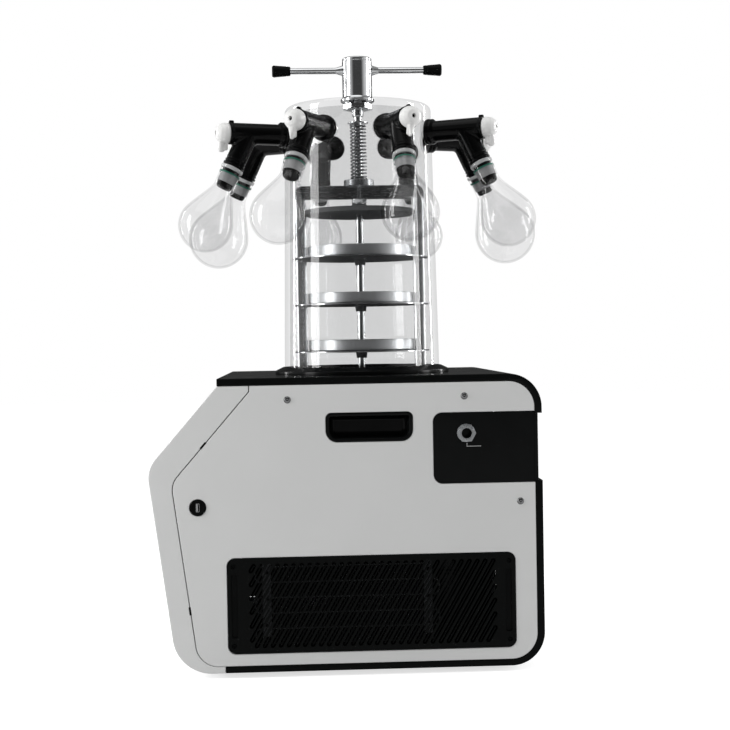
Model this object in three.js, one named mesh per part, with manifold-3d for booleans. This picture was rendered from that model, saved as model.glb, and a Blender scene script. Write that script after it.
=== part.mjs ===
// A benchtop freeze dryer with a clear stoppering chamber and a ring of eight flask valves.
// Millimetres, +Z up. The front, with the touch screen, faces -Y. The chamber's axis is the
// origin while the pieces are made, and the last lines centre the whole on its bounding box.
import * as THREE from "three";
import Module from "manifold-3d";
import { mergeVertices } from "three/addons/utils/BufferGeometryUtils.js";

const wasm = await Module();
wasm.setup();

// ------------------------------------------------------------------ driving dimensions

// Clearances
const fitGap = 0.3; // between two pieces that touch
const panelGap = 0.5; // round a panel set into another
const turnGap = 0.4; // radial, round a piece that turns or slides
const past = 1; // how far a cutting shape runs past the face it cuts, or a joined one runs in

// Casing, measured from the chamber's axis and from the surface it stands on
const casingWidth = 460;
const casingTop = 445;
const footHeight = 8;
const footRadius = 18;
const footInset = 50;
const axisToCoverFront = 225;
const axisToNose = 330;
const axisToToe = 290;
const axisToRear = 258;
const noseBelowTop = 132;
const noseRadius = 45;
const toeRadius = 58;
const bandEdge = 11; // visible edge of the top cover
const trayEdge = 10; // visible edge of the base tray
const bandRadius = 50; // outer corner of cover and tray at the rear
const sheet = 3; // wall of every casing piece
const flange = 8; // side flange under the cover and inside the tray
const sidePanelThickness = 4;

// Front shell
const upperWing = 42; // width of its side wing along the slanted face
const lowerWing = 33;
const seamRadius = 30;
const seamToeRadius = 34;
const seamTopSetback = 48; // from the cover's front edge
const trayFrontSetback = 6;

// Touch screen
const screenWidth = 196;
const screenHeight = 112;
const screenThickness = 7;
const screenProud = 0.4;
const screenPlace = 0.52; // of the slanted face's length, from the nose to the screen's middle

// Port panel, round the right rear corner
const portPanelLength = 157;
const portPanelBelowCover = 45.5;
const portPanelHeight = 105.5;
const portPanelRadius = 14;
const rearWindowRise = 2; // of the rear window's foot over the panel's
const rearWindowDrop = 3; // of its head under the panel's
const rearSetback = 6;

// Vacuum port
const vacuumPortToRear = 114;
const vacuumPortDrop = 30.5; // from the port panel's head
const vacuumNutRadius = 15;
const vacuumNutLength = 9;
const vacuumPipeRadius = 10;
const vacuumBore = 7.6;

// Data socket
const socketToNose = 74;
const socketBelowNose = 58;
const socketRadius = 12;
const socketDepth = 20;
const socketProud = 1.5;
const socketSlotWidth = 5;
const socketSlotHeight = 12;

// Power inlet
const inletWidth = 48;
const inletHeight = 28;
const inletDepth = 30;
const inletOffset = -150;
const inletRim = 5;
const inletRimThickness = 2;
const inletWall = 2;
const inletRadius = 4;
const inletPocketDepth = 15;
const pinPitch = 9;
const pinThickness = 2;
const pinHeight = 5;
const earthPinRise = 4;

// Hand recess
const recessLength = 129;
const recessHeight = 43;
const recessBelowCover = 43;
const recessDepth = 34;
const recessRim = 6;
const recessProud = 0.6;
const recessLowerRadius = 15;
const recessUpperRadius = 8;

// Ventilation grille
const grilleLength = 429;
const grilleHeight = 142;
const grilleAboveTray = 18.4;
const grilleThickness = 6;
const grilleProud = 1;
const grilleRadius = 12;
const grilleRows = 4;
const grilleColumns = 4;
const grilleEndMargin = 32.5; // beside the field of windows
const grilleEdgeMargin = 9; // over and under it
const grilleWeb = 6;
const grilleSlant = 0.55; // sideways run of a window for each millimetre of its height
const grillePocketWidth = 10;
const grillePocketMargin = 14;
const grillePocketShift = 3; // towards the windows, from the middle of the end margin
const grillePocketRadius = 2;

// Cold trap
const trapInset = 27.2; // of its wall from the chamber's outside
const trapToCompressor = 35.4; // from its floor down to the compressor's top
const trapWall = 2;
const trapFlange = 12;
const trapMouthGap = 1;

// Compressor
const compressorRadius = 78;
const compressorHeight = 200;
const compressorX = -75;
const compressorY = 140;
const compressorDome = 38;
const compressorShoulder = 15; // of its dome, in from the wall
const compressorCrown = 47; // where the dome turns flat, in from the wall
const shoulderDrop = 9.5;
const compressorSag = 8;
const seamBandHeight = 90; // of the welded seam band, above the compressor's foot
const seamBandWidth = 8;
const seamBandProud = 3;
const basePlateWidth = 172;
const basePlateLength = 120;
const basePlateThickness = 4;
const mountHeight = 7;
const mountRadius = 10;
const mountInset = 12;

// Condenser and fan
const condenserLength = 257;
const condenserHeight = 155;
const condenserDepth = 42;
const condenserFromGrille = 10;
const condenserCentreY = -36;
const condenserRise = 18; // of the fins above the casing's floor
const condenserPlate = 3;
const condenserPlateRise = 6;
const finInset = 3;
const bendReach = 10;
const bendHeight = 8;
const bendInset = 10;
const bendCount = 4;
const fanRadius = 62;
const fanHubRadius = 20;
const fanBlades = 5;
const fanDepth = 18;
const fanShaftRadius = 4;
const bladeWidth = 16;
const bladeThickness = 2;
const bladePitch = 62; // degrees from the fan's plane
const tipGap = 6; // between the blades and the duct
const ductDepth = 30;
const ductSegments = 24;
const armWidth = 8;
const armThickness = 5;
const motorRadius = 26;
const motorLength = 38;
const motorToFan = 4;

// Base ring and gasket
const ringWidth = 15.3; // outside the chamber
const ringHeight = 11;
const ringEdge = 4.6; // of its upright rim, over its foot
const ringCrown = 1.4; // width of its flat top
const ringFloor = 3;
const ringGap = 1.2; // between the ring and the chamber's wall
const gasketWidth = 10.5;
const gasketHeight = 2.2;

// Chamber
const chamberHeight = 433.6; // top of the lid above the cover
const chamberBaseRadius = 127.2;
const chamberDraft = THREE.MathUtils.degToRad(1.02);
const chamberWall = 9;
const lidThickness = 12;
const lidCornerRadius = 8;

// Press and handle
const shaftRadius = 6.5;
const rodRadius = 6.2;
const nutRadius = 23.1;
const nutHeight = 10;
const nutRecess = 3;
const shankRadius = 12.8;
const shankBelowLid = 5;
const nutClearance = 1;
const collarRadius = 27.5;
const collarHeight = 9.7;
const hubRadius = 24.2;
const hubHeight = 64;
const hubGroove = 1.2; // depth of the groove near the hub's top
const hubGrooveDrop = 6; // from the hub's top down to the groove
const hubBevel = 1;
const collarChamfer = 2;
const barRadius = 5;
const barHeight = 44; // above the hub's foot
const barSpan = 278; // over the grips
const barSetback = 4; // of the bar's end inside its grip
const weldLength = 9;
const weldHeight = 4;
const gripLength = 30;
const gripOuterRadius = 9.8;
const gripInnerRadius = 7.5;
const gripChamfer = 2;
const shaftInHub = 28;
const rodBelowCover = 10;
const rodChamfer = 1;
const washerRadius = 16.5;
const washerThickness = 2.4;
const washerBelowLid = 25.6; // its lower face
const springRadius = 12.2;
const springWire = 2.6;
const springTurns = 17;

// Rack
const legInset = 5; // of the legs from the shelves' edge
const legWidth = 18;
const rackDepth = 12;
const crossbarBelowLid = 127;
const crossbarHeight = 22;
const rackCorner = 8;
const bushRadius = 24.5;
const bushHeight = 9;
const rackFootLength = 26;
const rackFootWidth = 30;
const rackFootThickness = 3;
const shelfCount = 3;
const firstShelfHeight = 34; // its lower face above the cover
const lastShelfBelowPlate = 71.9;
const shelfToWall = 7.2;
const shelfThickness = 2;
const shelfBossRadius = 9.6;
const shelfBossTaper = 1.2;
const shelfBossHeight = 10;
const ledgePinRadius = 2;
const ledgePinLength = 26;
const trayHeight = 18;
const trayWall = 1.2;
const trayTubeRadius = 8.5;
const trayToLeg = 1.5;
const plateToLeg = 0.8;
const plateHeight = 8;
const plateChamfer = 1;
const plateBelowCrossbar = 18.4;
const plateHubRadius = 12.2;
const plateHubToNut = 1;
const stopNutRadius = 13.8;
const stopNutHeight = 7;

// Flask valves
const portCount = 8;
const firstPortAngle = 18; // degrees from +X
const valveTurns = [-6, 0, -3, 0, -6, 4, -4, -5.5]; // how far each hangs out of plumb, degrees
const portBelowLid = 48.6;
const portBossRadius = 20;
const portBossProud = 2;
const nippleRadius = 9.8;
const nippleLength = 34;
const nippleBore = 6;
const valveLength = 96;
const valveRadius = 16.8;
const valveBeadRadius = 20.7;
const valveLipRadius = 17.9;
const beadLength = 12;
const lipLength = 3;
const valveBevel = 3;
const branchFromEnd = 33; // branch axis on the valve's axis, from its outer end
const branchLean = THREE.MathUtils.degToRad(26); // outward from straight down
const branchLength = 58;
const branchBore = 6;
const branchStep = 0.4; // how much slimmer the branch is than the valve's tube
const coneOverrun = 4; // how far the rubber cone reaches past the flask's neck
const plugGap = 1.5; // between the nipple's end and the knob's plug
const plugBore = 5;
const knobRadius = 15.6;
const knobLength = 21;
const knobDiscLength = 10;
const knobShoulderRadius = 14; // of its dome
const knobShoulder = 16; // from the knob's foot to the dome's shoulder
const knobFaceRadius = 9.4;
const knobHole = 3.2;
const knobHoleDepth = 8;
const pointerReach = 30;
const pointerHalfWidth = 10;
const pointerRadius = 3;
const pointerThickness = 11;
const pointerSetback = 4;

// Flask
const mouthGap = 2; // from the branch's lip to the flask's mouth
const neckLength = 33;
const neckTopRadius = 17.4;
const neckFootRadius = 16.2;
const mouthLipRadius = 18.7;
const mouthLipHeight = 3;
const mouthLipTaper = 1.5; // length of the cone under it
const jointTaper = 1.4; // how much narrower the neck's bore is at its foot
const neckGlass = 3;
const flaskRadius = 43;
const flaskCentre = 69; // from the neck's foot
const largeFlaskRadius = 50.5;
const largeFlaskCentre = 79.5;
const largeFlaskPorts = [3, 6];
const flaskGlass = 2.2;

// Facets
const roundSegments = 28; // chamber, ring and what fits them
const shelfSegments = 24;
const traySegments = 16;
const bossSegments = 12;
const pipeSegments = 8;
const pipeSteps = 8; // along the vacuum pipe
const wireSides = 4;
const stepsPerTurn = 6; // of the spring
const bulbSteps = 4;
const arcStep = Math.PI / 6;

// ------------------------------------------------------------------ shape helpers

const at = (u, v) => new THREE.Vector2(u, v);

// A closed three.js geometry as a manifold-3d solid. Triangles that shrink to a line where a
// turned profile meets its axis are left out.
function solid(geometry) {
  const bare = geometry.clone();
  bare.deleteAttribute("normal");
  bare.deleteAttribute("uv");
  const merged = mergeVertices(bare, 1e-4);
  const index = merged.index.array;
  const kept = [];
  for (let i = 0; i < index.length; i += 3) {
    const [a, b, c] = index.slice(i, i + 3);
    if (a !== b && b !== c && c !== a) kept.push(a, b, c);
  }
  return new wasm.Manifold(
    new wasm.Mesh({
      numProp: 3,
      vertProperties: merged.attributes.position.array,
      triVerts: new Uint32Array(kept),
    }),
  );
}

// A manifold-3d solid as a three.js geometry.
function geometryOf(body) {
  const mesh = body.getMesh();
  const geometry = new THREE.BufferGeometry();
  geometry.setAttribute("position", new THREE.BufferAttribute(mesh.vertProperties, 3));
  geometry.setIndex(new THREE.BufferAttribute(mesh.triVerts, 1));
  geometry.computeVertexNormals();
  return geometry;
}

const union = (...bodies) => bodies.reduce((sum, body) => sum.add(body));
const cut = (body, ...tools) => tools.reduce((rest, tool) => rest.subtract(tool), body);

// Corners [u, v, radius] as points, each corner that has a radius replaced by an arc.
function rounded(corners) {
  return corners.flatMap(([u, v, radius = 0], i) => {
    const corner = at(u, v);
    if (!radius) return [corner];
    const [beforeU, beforeV] = corners.at(i - 1);
    const [afterU, afterV] = corners[(i + 1) % corners.length];
    const toBefore = at(beforeU, beforeV).sub(corner).normalize();
    const toAfter = at(afterU, afterV).sub(corner).normalize();
    const half = Math.acos(toBefore.dot(toAfter)) / 2;
    const start = corner.clone().addScaledVector(toBefore, radius / Math.tan(half));
    const middle = toBefore.clone().add(toAfter).normalize();
    const centre = corner.clone().addScaledVector(middle, radius / Math.sin(half));
    const sweep = Math.sign(toAfter.cross(toBefore)) * (Math.PI - 2 * half);
    const steps = Math.ceil(Math.abs(sweep) / arcStep);
    return Array.from({ length: steps + 1 }, (_, step) =>
      start.clone().rotateAround(centre, (sweep * step) / steps),
    );
  });
}

const rectangle = (u0, u1, v0, v1, radius = 0) =>
  rounded([
    [u0, v0, radius],
    [u1, v0, radius],
    [u1, v1, radius],
    [u0, v1, radius],
  ]);

const polygon = (u, v, radius, sides, turn = 0) =>
  Array.from({ length: sides }, (_, i) => {
    const angle = turn + (2 * Math.PI * i) / sides;
    return at(u + radius * Math.cos(angle), v + radius * Math.sin(angle));
  });

function extruded(outline, depth) {
  return new THREE.ExtrudeGeometry(new THREE.Shape(outline), { depth, bevelEnabled: false });
}

// Outline in Y and Z, from x0 to x1.
function alongX(outline, x0, x1) {
  const toX = new THREE.Matrix4().makeBasis(
    new THREE.Vector3(0, 1, 0),
    new THREE.Vector3(0, 0, 1),
    new THREE.Vector3(1, 0, 0),
  );
  return solid(extruded(outline, x1 - x0).applyMatrix4(toX).translate(x0, 0, 0));
}

// Outline in X and Z, from y0 to y1.
function alongY(outline, y0, y1) {
  return solid(extruded(outline, y1 - y0).rotateX(Math.PI / 2).translate(0, y1, 0));
}

// Outline in X and Y, from z0 to z1.
function alongZ(outline, z0, z1) {
  return solid(extruded(outline, z1 - z0).translate(0, 0, z0));
}

const block = (x0, x1, y0, y1, z0, z1) => alongZ(rectangle(x0, x1, y0, y1), z0, z1);

// A profile of [radius, height] points, up the outside and down the inside, turned about Z. The
// profile starts and ends on the axis, or closes on itself.
function turnedGeometry(profile, segments) {
  const points = profile.map(([radius, height]) => at(radius, height));
  const closed = profile[0][0] === 0 ? points : [...points, points[0].clone()];
  return new THREE.LatheGeometry(closed, segments).rotateX(Math.PI / 2);
}

const turned = (profile, segments) => solid(turnedGeometry(profile, segments));

// The same about X, with the heights along +X.
const turnedX = (profile, segments) =>
  solid(turnedGeometry(profile, segments).rotateY(Math.PI / 2));

const rod = (radius, from, to, segments = pipeSegments) =>
  turned([[0, from], [radius, from], [radius, to], [0, to]], segments);

const rodX = (radius, from, to, segments = pipeSegments) =>
  turnedX([[0, from], [radius, from], [radius, to], [0, to]], segments);

// The corner radius of a hole that leaves room to turn round a rod, whatever its facets' turn.
const boreRadius = (radius) => (radius + turnGap) / Math.cos(Math.PI / pipeSegments);

// The line from a to b moved to its left, which is inwards on an outline drawn anticlockwise.
function lineBeside(a, b, distance) {
  const direction = b.clone().sub(a).normalize();
  const point = at(a.x - direction.y * distance, a.y + direction.x * distance);
  return { point, direction };
}

const level = (height) => ({ point: at(0, height), direction: at(1, 0) });
const upright = (y) => ({ point: at(y, 0), direction: at(0, 1) });

// Where two lines meet.
function meet(p, q) {
  const between = q.point.clone().sub(p.point);
  const along = between.cross(q.direction) / p.direction.cross(q.direction);
  return p.point.clone().addScaledVector(p.direction, along);
}

const cornerAt = (point, radius) => [point.x, point.y, radius];

// ------------------------------------------------------------------ materials

function finish(color, roughness, metalness, extra = {}) {
  return new THREE.MeshStandardMaterial({ color, roughness, metalness, ...extra });
}

const materials = {
  white_paint: finish(0xdcdddc, 0.45, 0),
  black_gloss: finish(0x0c0d0e, 0.18, 0),
  black_plastic: finish(0x141617, 0.5, 0),
  screen_glass: finish(0x050608, 0.08, 0),
  rubber: finish(0x121314, 0.6, 0),
  polished_steel: finish(0xc4c6c8, 0.15, 1),
  brushed_steel: finish(0xa8abae, 0.3, 1),
  clear_acrylic: finish(0xe9ecee, 0.05, 0, { transparent: true, opacity: 0.3 }),
  clear_glass: finish(0xe6ebec, 0.04, 0, { transparent: true, opacity: 0.3 }),
  white_plastic: finish(0xf0f0ee, 0.35, 0),
  fin_aluminium: finish(0x8e9294, 0.4, 1),
  compressor_paint: finish(0x1a1b1c, 0.35, 0),
};

const root = new THREE.Group();

function add(name, body, material, parent = root) {
  const mesh = new THREE.Mesh(geometryOf(body), materials[material]);
  mesh.name = name;
  parent.add(mesh);
  return mesh;
}

// ------------------------------------------------------------------ casing

const halfWidth = casingWidth / 2;
const coverUnder = casingTop - bandEdge;
const noseHeight = casingTop - noseBelowTop;
const portPanelTop = coverUnder - portPanelBelowCover;
const portPanelBottom = portPanelTop - portPanelHeight;
const rearWindowBottom = portPanelBottom + rearWindowRise;
const rearWindowTop = portPanelTop - rearWindowDrop;
const vacuumPortHeight = portPanelTop - vacuumPortDrop;
const socketHeight = noseHeight - socketBelowNose;
const trapRadius = chamberBaseRadius - trapInset;
const coverFront = -axisToCoverFront;
const trayTop = footHeight + trayEdge;
const trayFront = coverFront + trayFrontSetback;
const panelTop = coverUnder - fitGap;
const panelRear = axisToRear - bandEdge - fitGap;
const brow = at(coverFront, panelTop);
const nose = at(-axisToNose, noseHeight);
const toe = at(-axisToToe, footHeight);
const vacuumPortY = axisToRear - vacuumPortToRear;
const socketY = -axisToNose + socketToNose;
const sideInner = halfWidth - sidePanelThickness;

// The seam between the front shell and a side panel, moved towards the front by a gap.
function seamCorners(gap) {
  const upper = lineBeside(brow, nose, upperWing - gap);
  const lower = lineBeside(nose, toe, lowerWing - gap);
  const top = upright(coverFront + seamTopSetback - gap);
  const bottom = level(trayTop + fitGap - gap);
  return [
    cornerAt(meet(top, level(panelTop)), 0),
    cornerAt(meet(top, upper), 0),
    cornerAt(meet(upper, lower), seamRadius + gap),
    cornerAt(meet(lower, bottom), seamToeRadius + gap),
  ];
}

function frontShell() {
  const shellRear = trayFront - fitGap;
  const outside = [
    cornerAt(brow, 0),
    cornerAt(nose, noseRadius),
    cornerAt(toe, toeRadius),
    [shellRear, footHeight],
    [shellRear, trayTop + fitGap - panelGap],
  ];
  const seam = seamCorners(panelGap).reverse();
  const upper = lineBeside(brow, nose, sheet);
  const lower = lineBeside(nose, toe, sheet);
  const above = level(casingTop);
  const floor = level(footHeight + sheet);
  const inside = [
    cornerAt(meet(upper, above), 0),
    cornerAt(meet(upper, lower), noseRadius - sheet),
    cornerAt(meet(lower, floor), toeRadius - sheet),
    cornerAt(meet(floor, upright(0)), 0),
    cornerAt(meet(above, upright(0)), 0),
  ];
  return cut(
    alongX(rounded([...outside, ...seam]), -halfWidth, halfWidth),
    alongX(rounded(inside), -halfWidth + sheet, halfWidth - sheet),
    screenBlock(panelGap, -screenThickness - past, past),
  );
}

// A block in the slanted face: the screen's outline grown by some distance, and its depths from
// the face, which are negative inside the casing.
function screenBlock(grow, from, to) {
  const slope = brow.clone().sub(nose);
  const middle = nose.clone().addScaledVector(slope, screenPlace);
  const halfX = screenWidth / 2 + grow;
  const halfSlope = screenHeight / 2 + grow;
  const face = extruded(rectangle(-halfX, halfX, -halfSlope, halfSlope), to - from);
  face.translate(0, 0, from).rotateX(Math.atan2(slope.y, slope.x));
  return solid(face.translate(0, middle.x, middle.y));
}

const touchScreen = () => screenBlock(0, -screenThickness, screenProud);

const recessTop = coverUnder - recessBelowCover;
const recessBottom = recessTop - recessHeight;
const grilleBottom = trayTop + grilleAboveTray;
const grilleTop = grilleBottom + grilleHeight;
const portPanelRear = axisToRear - rearSetback;
const portPanelFront = portPanelRear - portPanelLength;

// A hand recess's outline, drawn in by some distance.
function recessOutline(inset) {
  const half = recessLength / 2 - inset;
  return rounded([
    [-half, recessBottom + inset, recessLowerRadius - inset],
    [half, recessBottom + inset, recessLowerRadius - inset],
    [half, recessTop - inset, recessUpperRadius - inset],
    [-half, recessTop - inset, recessUpperRadius - inset],
  ]);
}

function grilleOutline(grow) {
  const half = grilleLength / 2 + grow;
  return rectangle(-half, half, grilleBottom - grow, grilleTop + grow, grilleRadius + grow);
}

// A side panel, made for the right side.
function sidePanel() {
  const rear = [
    [panelRear, trayTop + fitGap, bandRadius - bandEdge],
    [panelRear, panelTop, bandRadius - bandEdge],
  ];
  return cut(
    alongX(rounded([...seamCorners(0), ...rear]), sideInner, halfWidth),
    throughSide(recessOutline(-panelGap)),
    throughSide(grilleOutline(panelGap)),
  );
}

// An outline run through the right side panel.
const throughSide = (outline) => alongX(outline, sideInner - past, halfWidth + past);

function sidePanelRight() {
  const notch = rounded([
    [portPanelFront - panelGap, portPanelBottom - panelGap, portPanelRadius],
    [axisToRear, portPanelBottom - panelGap],
    [axisToRear, portPanelTop + panelGap],
    [portPanelFront - panelGap, portPanelTop + panelGap, portPanelRadius],
  ]);
  const hole = polygon(socketY, socketHeight, socketRadius + panelGap, 2 * pipeSegments);
  return cut(sidePanel(), throughSide(notch), throughSide(hole));
}

// The cover: a top plate that curls down at the rear, hollow underneath, with the trap's mouth.
function topCover() {
  const inner = axisToRear - bandEdge;
  const lower = rearWindowTop;
  const band = rounded([
    [coverFront, coverUnder],
    [inner, coverUnder, bandRadius - bandEdge],
    [inner, lower],
    [axisToRear, lower],
    [axisToRear, casingTop, bandRadius],
    [coverFront, casingTop],
  ]);
  const hollow = rounded([
    [coverFront + flange, coverUnder - flange],
    [inner - bandEdge, coverUnder - flange],
    [inner - bandEdge, lower + sheet],
    [axisToRear - sheet, lower + sheet],
    [axisToRear - sheet, casingTop - sheet, bandRadius - sheet],
    [coverFront + flange, casingTop - sheet],
  ]);
  return cut(
    alongX(band, -halfWidth, halfWidth),
    alongX(hollow, -halfWidth + flange, halfWidth - flange),
    rod(trapRadius + trapMouthGap, coverUnder, casingTop + past, roundSegments),
  );
}

// The base tray: a floor that curls up at the rear, with four moulded feet.
function baseTray() {
  const inner = axisToRear - bandEdge;
  const top = rearWindowBottom;
  const band = rounded([
    [trayFront, footHeight],
    [axisToRear, footHeight, bandRadius],
    [axisToRear, top],
    [inner, top],
    [inner, trayTop, bandRadius - bandEdge],
    [trayFront, trayTop],
  ]);
  const hollow = rounded([
    [trayFront + sheet, footHeight + sheet],
    [axisToRear - sheet, footHeight + sheet, bandRadius - sheet],
    [axisToRear - sheet, top - sheet],
    [inner - bandEdge, top - sheet],
    [inner - bandEdge, trayTop + bandRadius],
    [trayFront + sheet, trayTop + bandRadius],
  ]);
  const shell = cut(
    alongX(band, -halfWidth, halfWidth),
    alongX(hollow, -halfWidth + flange, halfWidth - flange),
  );
  const footX = halfWidth - footInset;
  const feet = [-1, 1].flatMap((side) =>
    [trayFront + footInset, axisToRear - bandRadius - footRadius].map((y) =>
      rod(footRadius, 0, footHeight + past, 2 * pipeSegments).translate([side * footX, y, 0]),
    ),
  );
  return union(shell, ...feet);
}

// The port panel: a plate on the right side and one across the rear, in one piece.
function portPanel() {
  const outer = halfWidth - fitGap;
  const x0 = outer - sheet;
  const bottom = rearWindowBottom + fitGap;
  const top = rearWindowTop - fitGap;
  const side = rounded([
    [portPanelFront, portPanelBottom, portPanelRadius - panelGap],
    [panelRear, portPanelBottom],
    [panelRear, portPanelTop],
    [portPanelFront, portPanelTop, portPanelRadius - panelGap],
  ]);
  const rear = portPanelRear - sheet;
  const pipe = polygon(vacuumPortY, vacuumPortHeight, boreRadius(vacuumPipeRadius), pipeSegments);
  const hole = inletOutline(fitGap - inletRim);
  return cut(
    union(
      alongX(side, x0, outer),
      block(x0, outer, panelRear - past, portPanelRear, bottom, top),
      block(-outer, outer, rear, portPanelRear, bottom, top),
    ),
    alongX(pipe, x0 - past, outer + past),
    alongY(hole, rear - past, portPanelRear + past),
  );
}

// The vacuum port: a hex nut outside, and the pipe behind it that ends at the cold trap.
function vacuumPort() {
  const start = halfWidth;
  const end = start + vacuumNutLength;
  const reach = (trapRadius + 2 * fitGap) / Math.SQRT2;
  const bend = new THREE.QuadraticBezierCurve3(
    new THREE.Vector3(start + vacuumNutLength / 3, vacuumPortY, vacuumPortHeight),
    new THREE.Vector3(vacuumPortY, vacuumPortY, vacuumPortHeight),
    new THREE.Vector3(reach, reach, vacuumPortHeight),
  );
  const section = new THREE.Shape(polygon(0, 0, vacuumPipeRadius, pipeSegments));
  section.holes.push(new THREE.Path(polygon(0, 0, vacuumBore, pipeSegments)));
  const pipe = solid(new THREE.ExtrudeGeometry(section, { steps: pipeSteps, extrudePath: bend }));
  const nut = alongX(polygon(vacuumPortY, vacuumPortHeight, vacuumNutRadius, 6), start, end);
  const bore = polygon(vacuumPortY, vacuumPortHeight, vacuumBore, pipeSegments);
  return cut(union(pipe, nut), alongX(bore, start - past, end + past));
}

function dataSocket() {
  const from = halfWidth - socketDepth;
  const face = halfWidth + socketProud;
  const barrel = polygon(socketY, socketHeight, socketRadius, 2 * pipeSegments);
  const slot = rectangle(
    socketY - socketSlotWidth / 2,
    socketY + socketSlotWidth / 2,
    socketHeight - socketSlotHeight / 2,
    socketHeight + socketSlotHeight / 2,
  );
  return cut(alongX(barrel, from, face), alongX(slot, halfWidth - socketDepth / 2, face + past));
}

// The power inlet's outline in X and Z, grown by some distance.
function inletOutline(grow) {
  const middle = (rearWindowBottom + rearWindowTop) / 2;
  return rectangle(
    inletOffset - inletWidth / 2 - grow,
    inletOffset + inletWidth / 2 + grow,
    middle - inletHeight / 2 - grow,
    middle + inletHeight / 2 + grow,
    inletRadius,
  );
}

function powerInlet() {
  const face = portPanelRear + fitGap;
  const middle = (rearWindowBottom + rearWindowTop) / 2;
  const pocketFloor = face - inletPocketDepth;
  const pins = [-1, 0, 1].map((place) => {
    const x = inletOffset + place * pinPitch;
    const z = middle + (place ? 0 : earthPinRise);
    return block(
      x - pinThickness / 2,
      x + pinThickness / 2,
      pocketFloor - past,
      face - inletWall,
      z - pinHeight / 2,
      z + pinHeight / 2,
    );
  });
  const flangePlate = alongY(inletOutline(0), face, face + inletRimThickness);
  const box = alongY(inletOutline(-inletRim), face - inletDepth, face + past);
  const pocket = alongY(
    inletOutline(-inletRim - inletWall),
    pocketFloor,
    face + inletRimThickness + past,
  );
  return union(cut(union(flangePlate, box), pocket), ...pins);
}

// A hand recess: a rim flush with the panel and a cup behind it.
function handRecess() {
  const outer = halfWidth + recessProud;
  const inner = halfWidth - recessDepth;
  return cut(
    union(
      alongX(recessOutline(0), sideInner, outer),
      alongX(recessOutline(recessRim - sheet), inner, outer),
    ),
    alongX(recessOutline(recessRim), inner + sheet, outer + past),
  );
}

// A grille: a plate with a shallow rib pocket at each end and a field of slanted windows.
function grille() {
  const outer = halfWidth + grilleProud;
  const inner = outer - grilleThickness;
  const middle = (grilleBottom + grilleTop) / 2;
  const fieldLength = grilleLength - 2 * grilleEndMargin;
  const fieldHeight = grilleHeight - 2 * grilleEdgeMargin;
  const pitchY = fieldLength / grilleColumns;
  const pitchZ = fieldHeight / grilleRows;
  const run = grilleSlant * (pitchZ - grilleWeb);
  const windows = [];
  for (let row = 0; row < grilleRows; row++) {
    const z0 = middle - fieldHeight / 2 + row * pitchZ + grilleWeb / 2;
    const z1 = z0 + pitchZ - grilleWeb;
    for (let column = 0; column < grilleColumns; column++) {
      const y0 = -fieldLength / 2 + column * pitchY + grilleWeb / 2;
      const y1 = y0 + pitchY - grilleWeb - run;
      const outline = [at(y0, z0), at(y1, z0), at(y1 + run, z1), at(y0 + run, z1)];
      windows.push(alongX(outline, inner - past, outer + past));
    }
  }
  const pocketY = (grilleLength - grilleEndMargin) / 2 - grillePocketShift;
  const pockets = [-1, 1].map((side) => {
    const outline = rectangle(
      side * pocketY - grillePocketWidth / 2,
      side * pocketY + grillePocketWidth / 2,
      grilleBottom + grillePocketMargin,
      grilleTop - grillePocketMargin,
      grillePocketRadius,
    );
    return alongX(outline, outer - grilleThickness / 2, outer + past);
  });
  return cut(alongX(grilleOutline(0), inner, outer), ...windows, ...pockets);
}

const mirrored = (body) => body.mirror([1, 0, 0]);

add("base_tray", baseTray(), "black_plastic");
add("front_shell", frontShell(), "white_paint");
add("side_panel_right", sidePanelRight(), "white_paint");
add("side_panel_left", mirrored(sidePanel()), "white_paint");
add("top_cover", topCover(), "black_gloss");
add("touch_screen", touchScreen(), "screen_glass");
add("port_panel", portPanel(), "black_gloss");
add("vacuum_port", vacuumPort(), "brushed_steel");
add("data_socket", dataSocket(), "black_plastic");
add("power_inlet", powerInlet(), "black_plastic");
add("hand_recess_right", handRecess(), "black_gloss");
add("hand_recess_left", mirrored(handRecess()), "black_gloss");
add("grille_right", grille(), "black_plastic");
add("grille_left", mirrored(grille()), "black_plastic");

// ------------------------------------------------------------------ refrigeration

const floorTop = footHeight + sheet + fitGap;
const compressorFoot = floorTop + mountHeight;
const compressorTop = compressorFoot + compressorHeight;

function coldTrap() {
  const top = casingTop - sheet - fitGap;
  const bottom = compressorTop + trapToCompressor;
  return turned(
    [
      [0, bottom],
      [trapRadius, bottom],
      [trapRadius, top - trapWall],
      [trapRadius + trapFlange, top - trapWall],
      [trapRadius + trapFlange, top],
      [trapRadius - trapWall, top],
      [trapRadius - trapWall, bottom + trapWall],
      [0, bottom + trapWall],
    ],
    roundSegments,
  );
}

function compressor() {
  const radius = compressorRadius;
  const foot = compressorFoot;
  const top = compressorTop;
  const band = foot + seamBandHeight;
  const bandTop = band + seamBandWidth;
  const bevel = seamBandWidth / 4;
  const shell = turned(
    [
      [0, foot],
      [radius, foot + compressorSag],
      [radius, band],
      [radius + seamBandProud, band + bevel],
      [radius + seamBandProud, bandTop - bevel],
      [radius, bandTop],
      [radius, top - compressorDome],
      [radius - compressorShoulder, top - shoulderDrop],
      [radius - compressorCrown, top],
      [0, top],
    ],
    traySegments,
  );
  const halfX = basePlateWidth / 2;
  const halfY = basePlateLength / 2;
  const plateFoot = foot - past;
  const plate = block(-halfX, halfX, -halfY, halfY, plateFoot, plateFoot + basePlateThickness + past);
  const mounts = [-1, 1].flatMap((x) =>
    [-1, 1].map((y) =>
      rod(mountRadius, floorTop, foot).translate([
        x * (halfX - mountInset),
        y * (halfY - mountInset),
        0,
      ]),
    ),
  );
  return union(shell, plate, ...mounts).translate([compressorX, compressorY, 0]);
}

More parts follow.
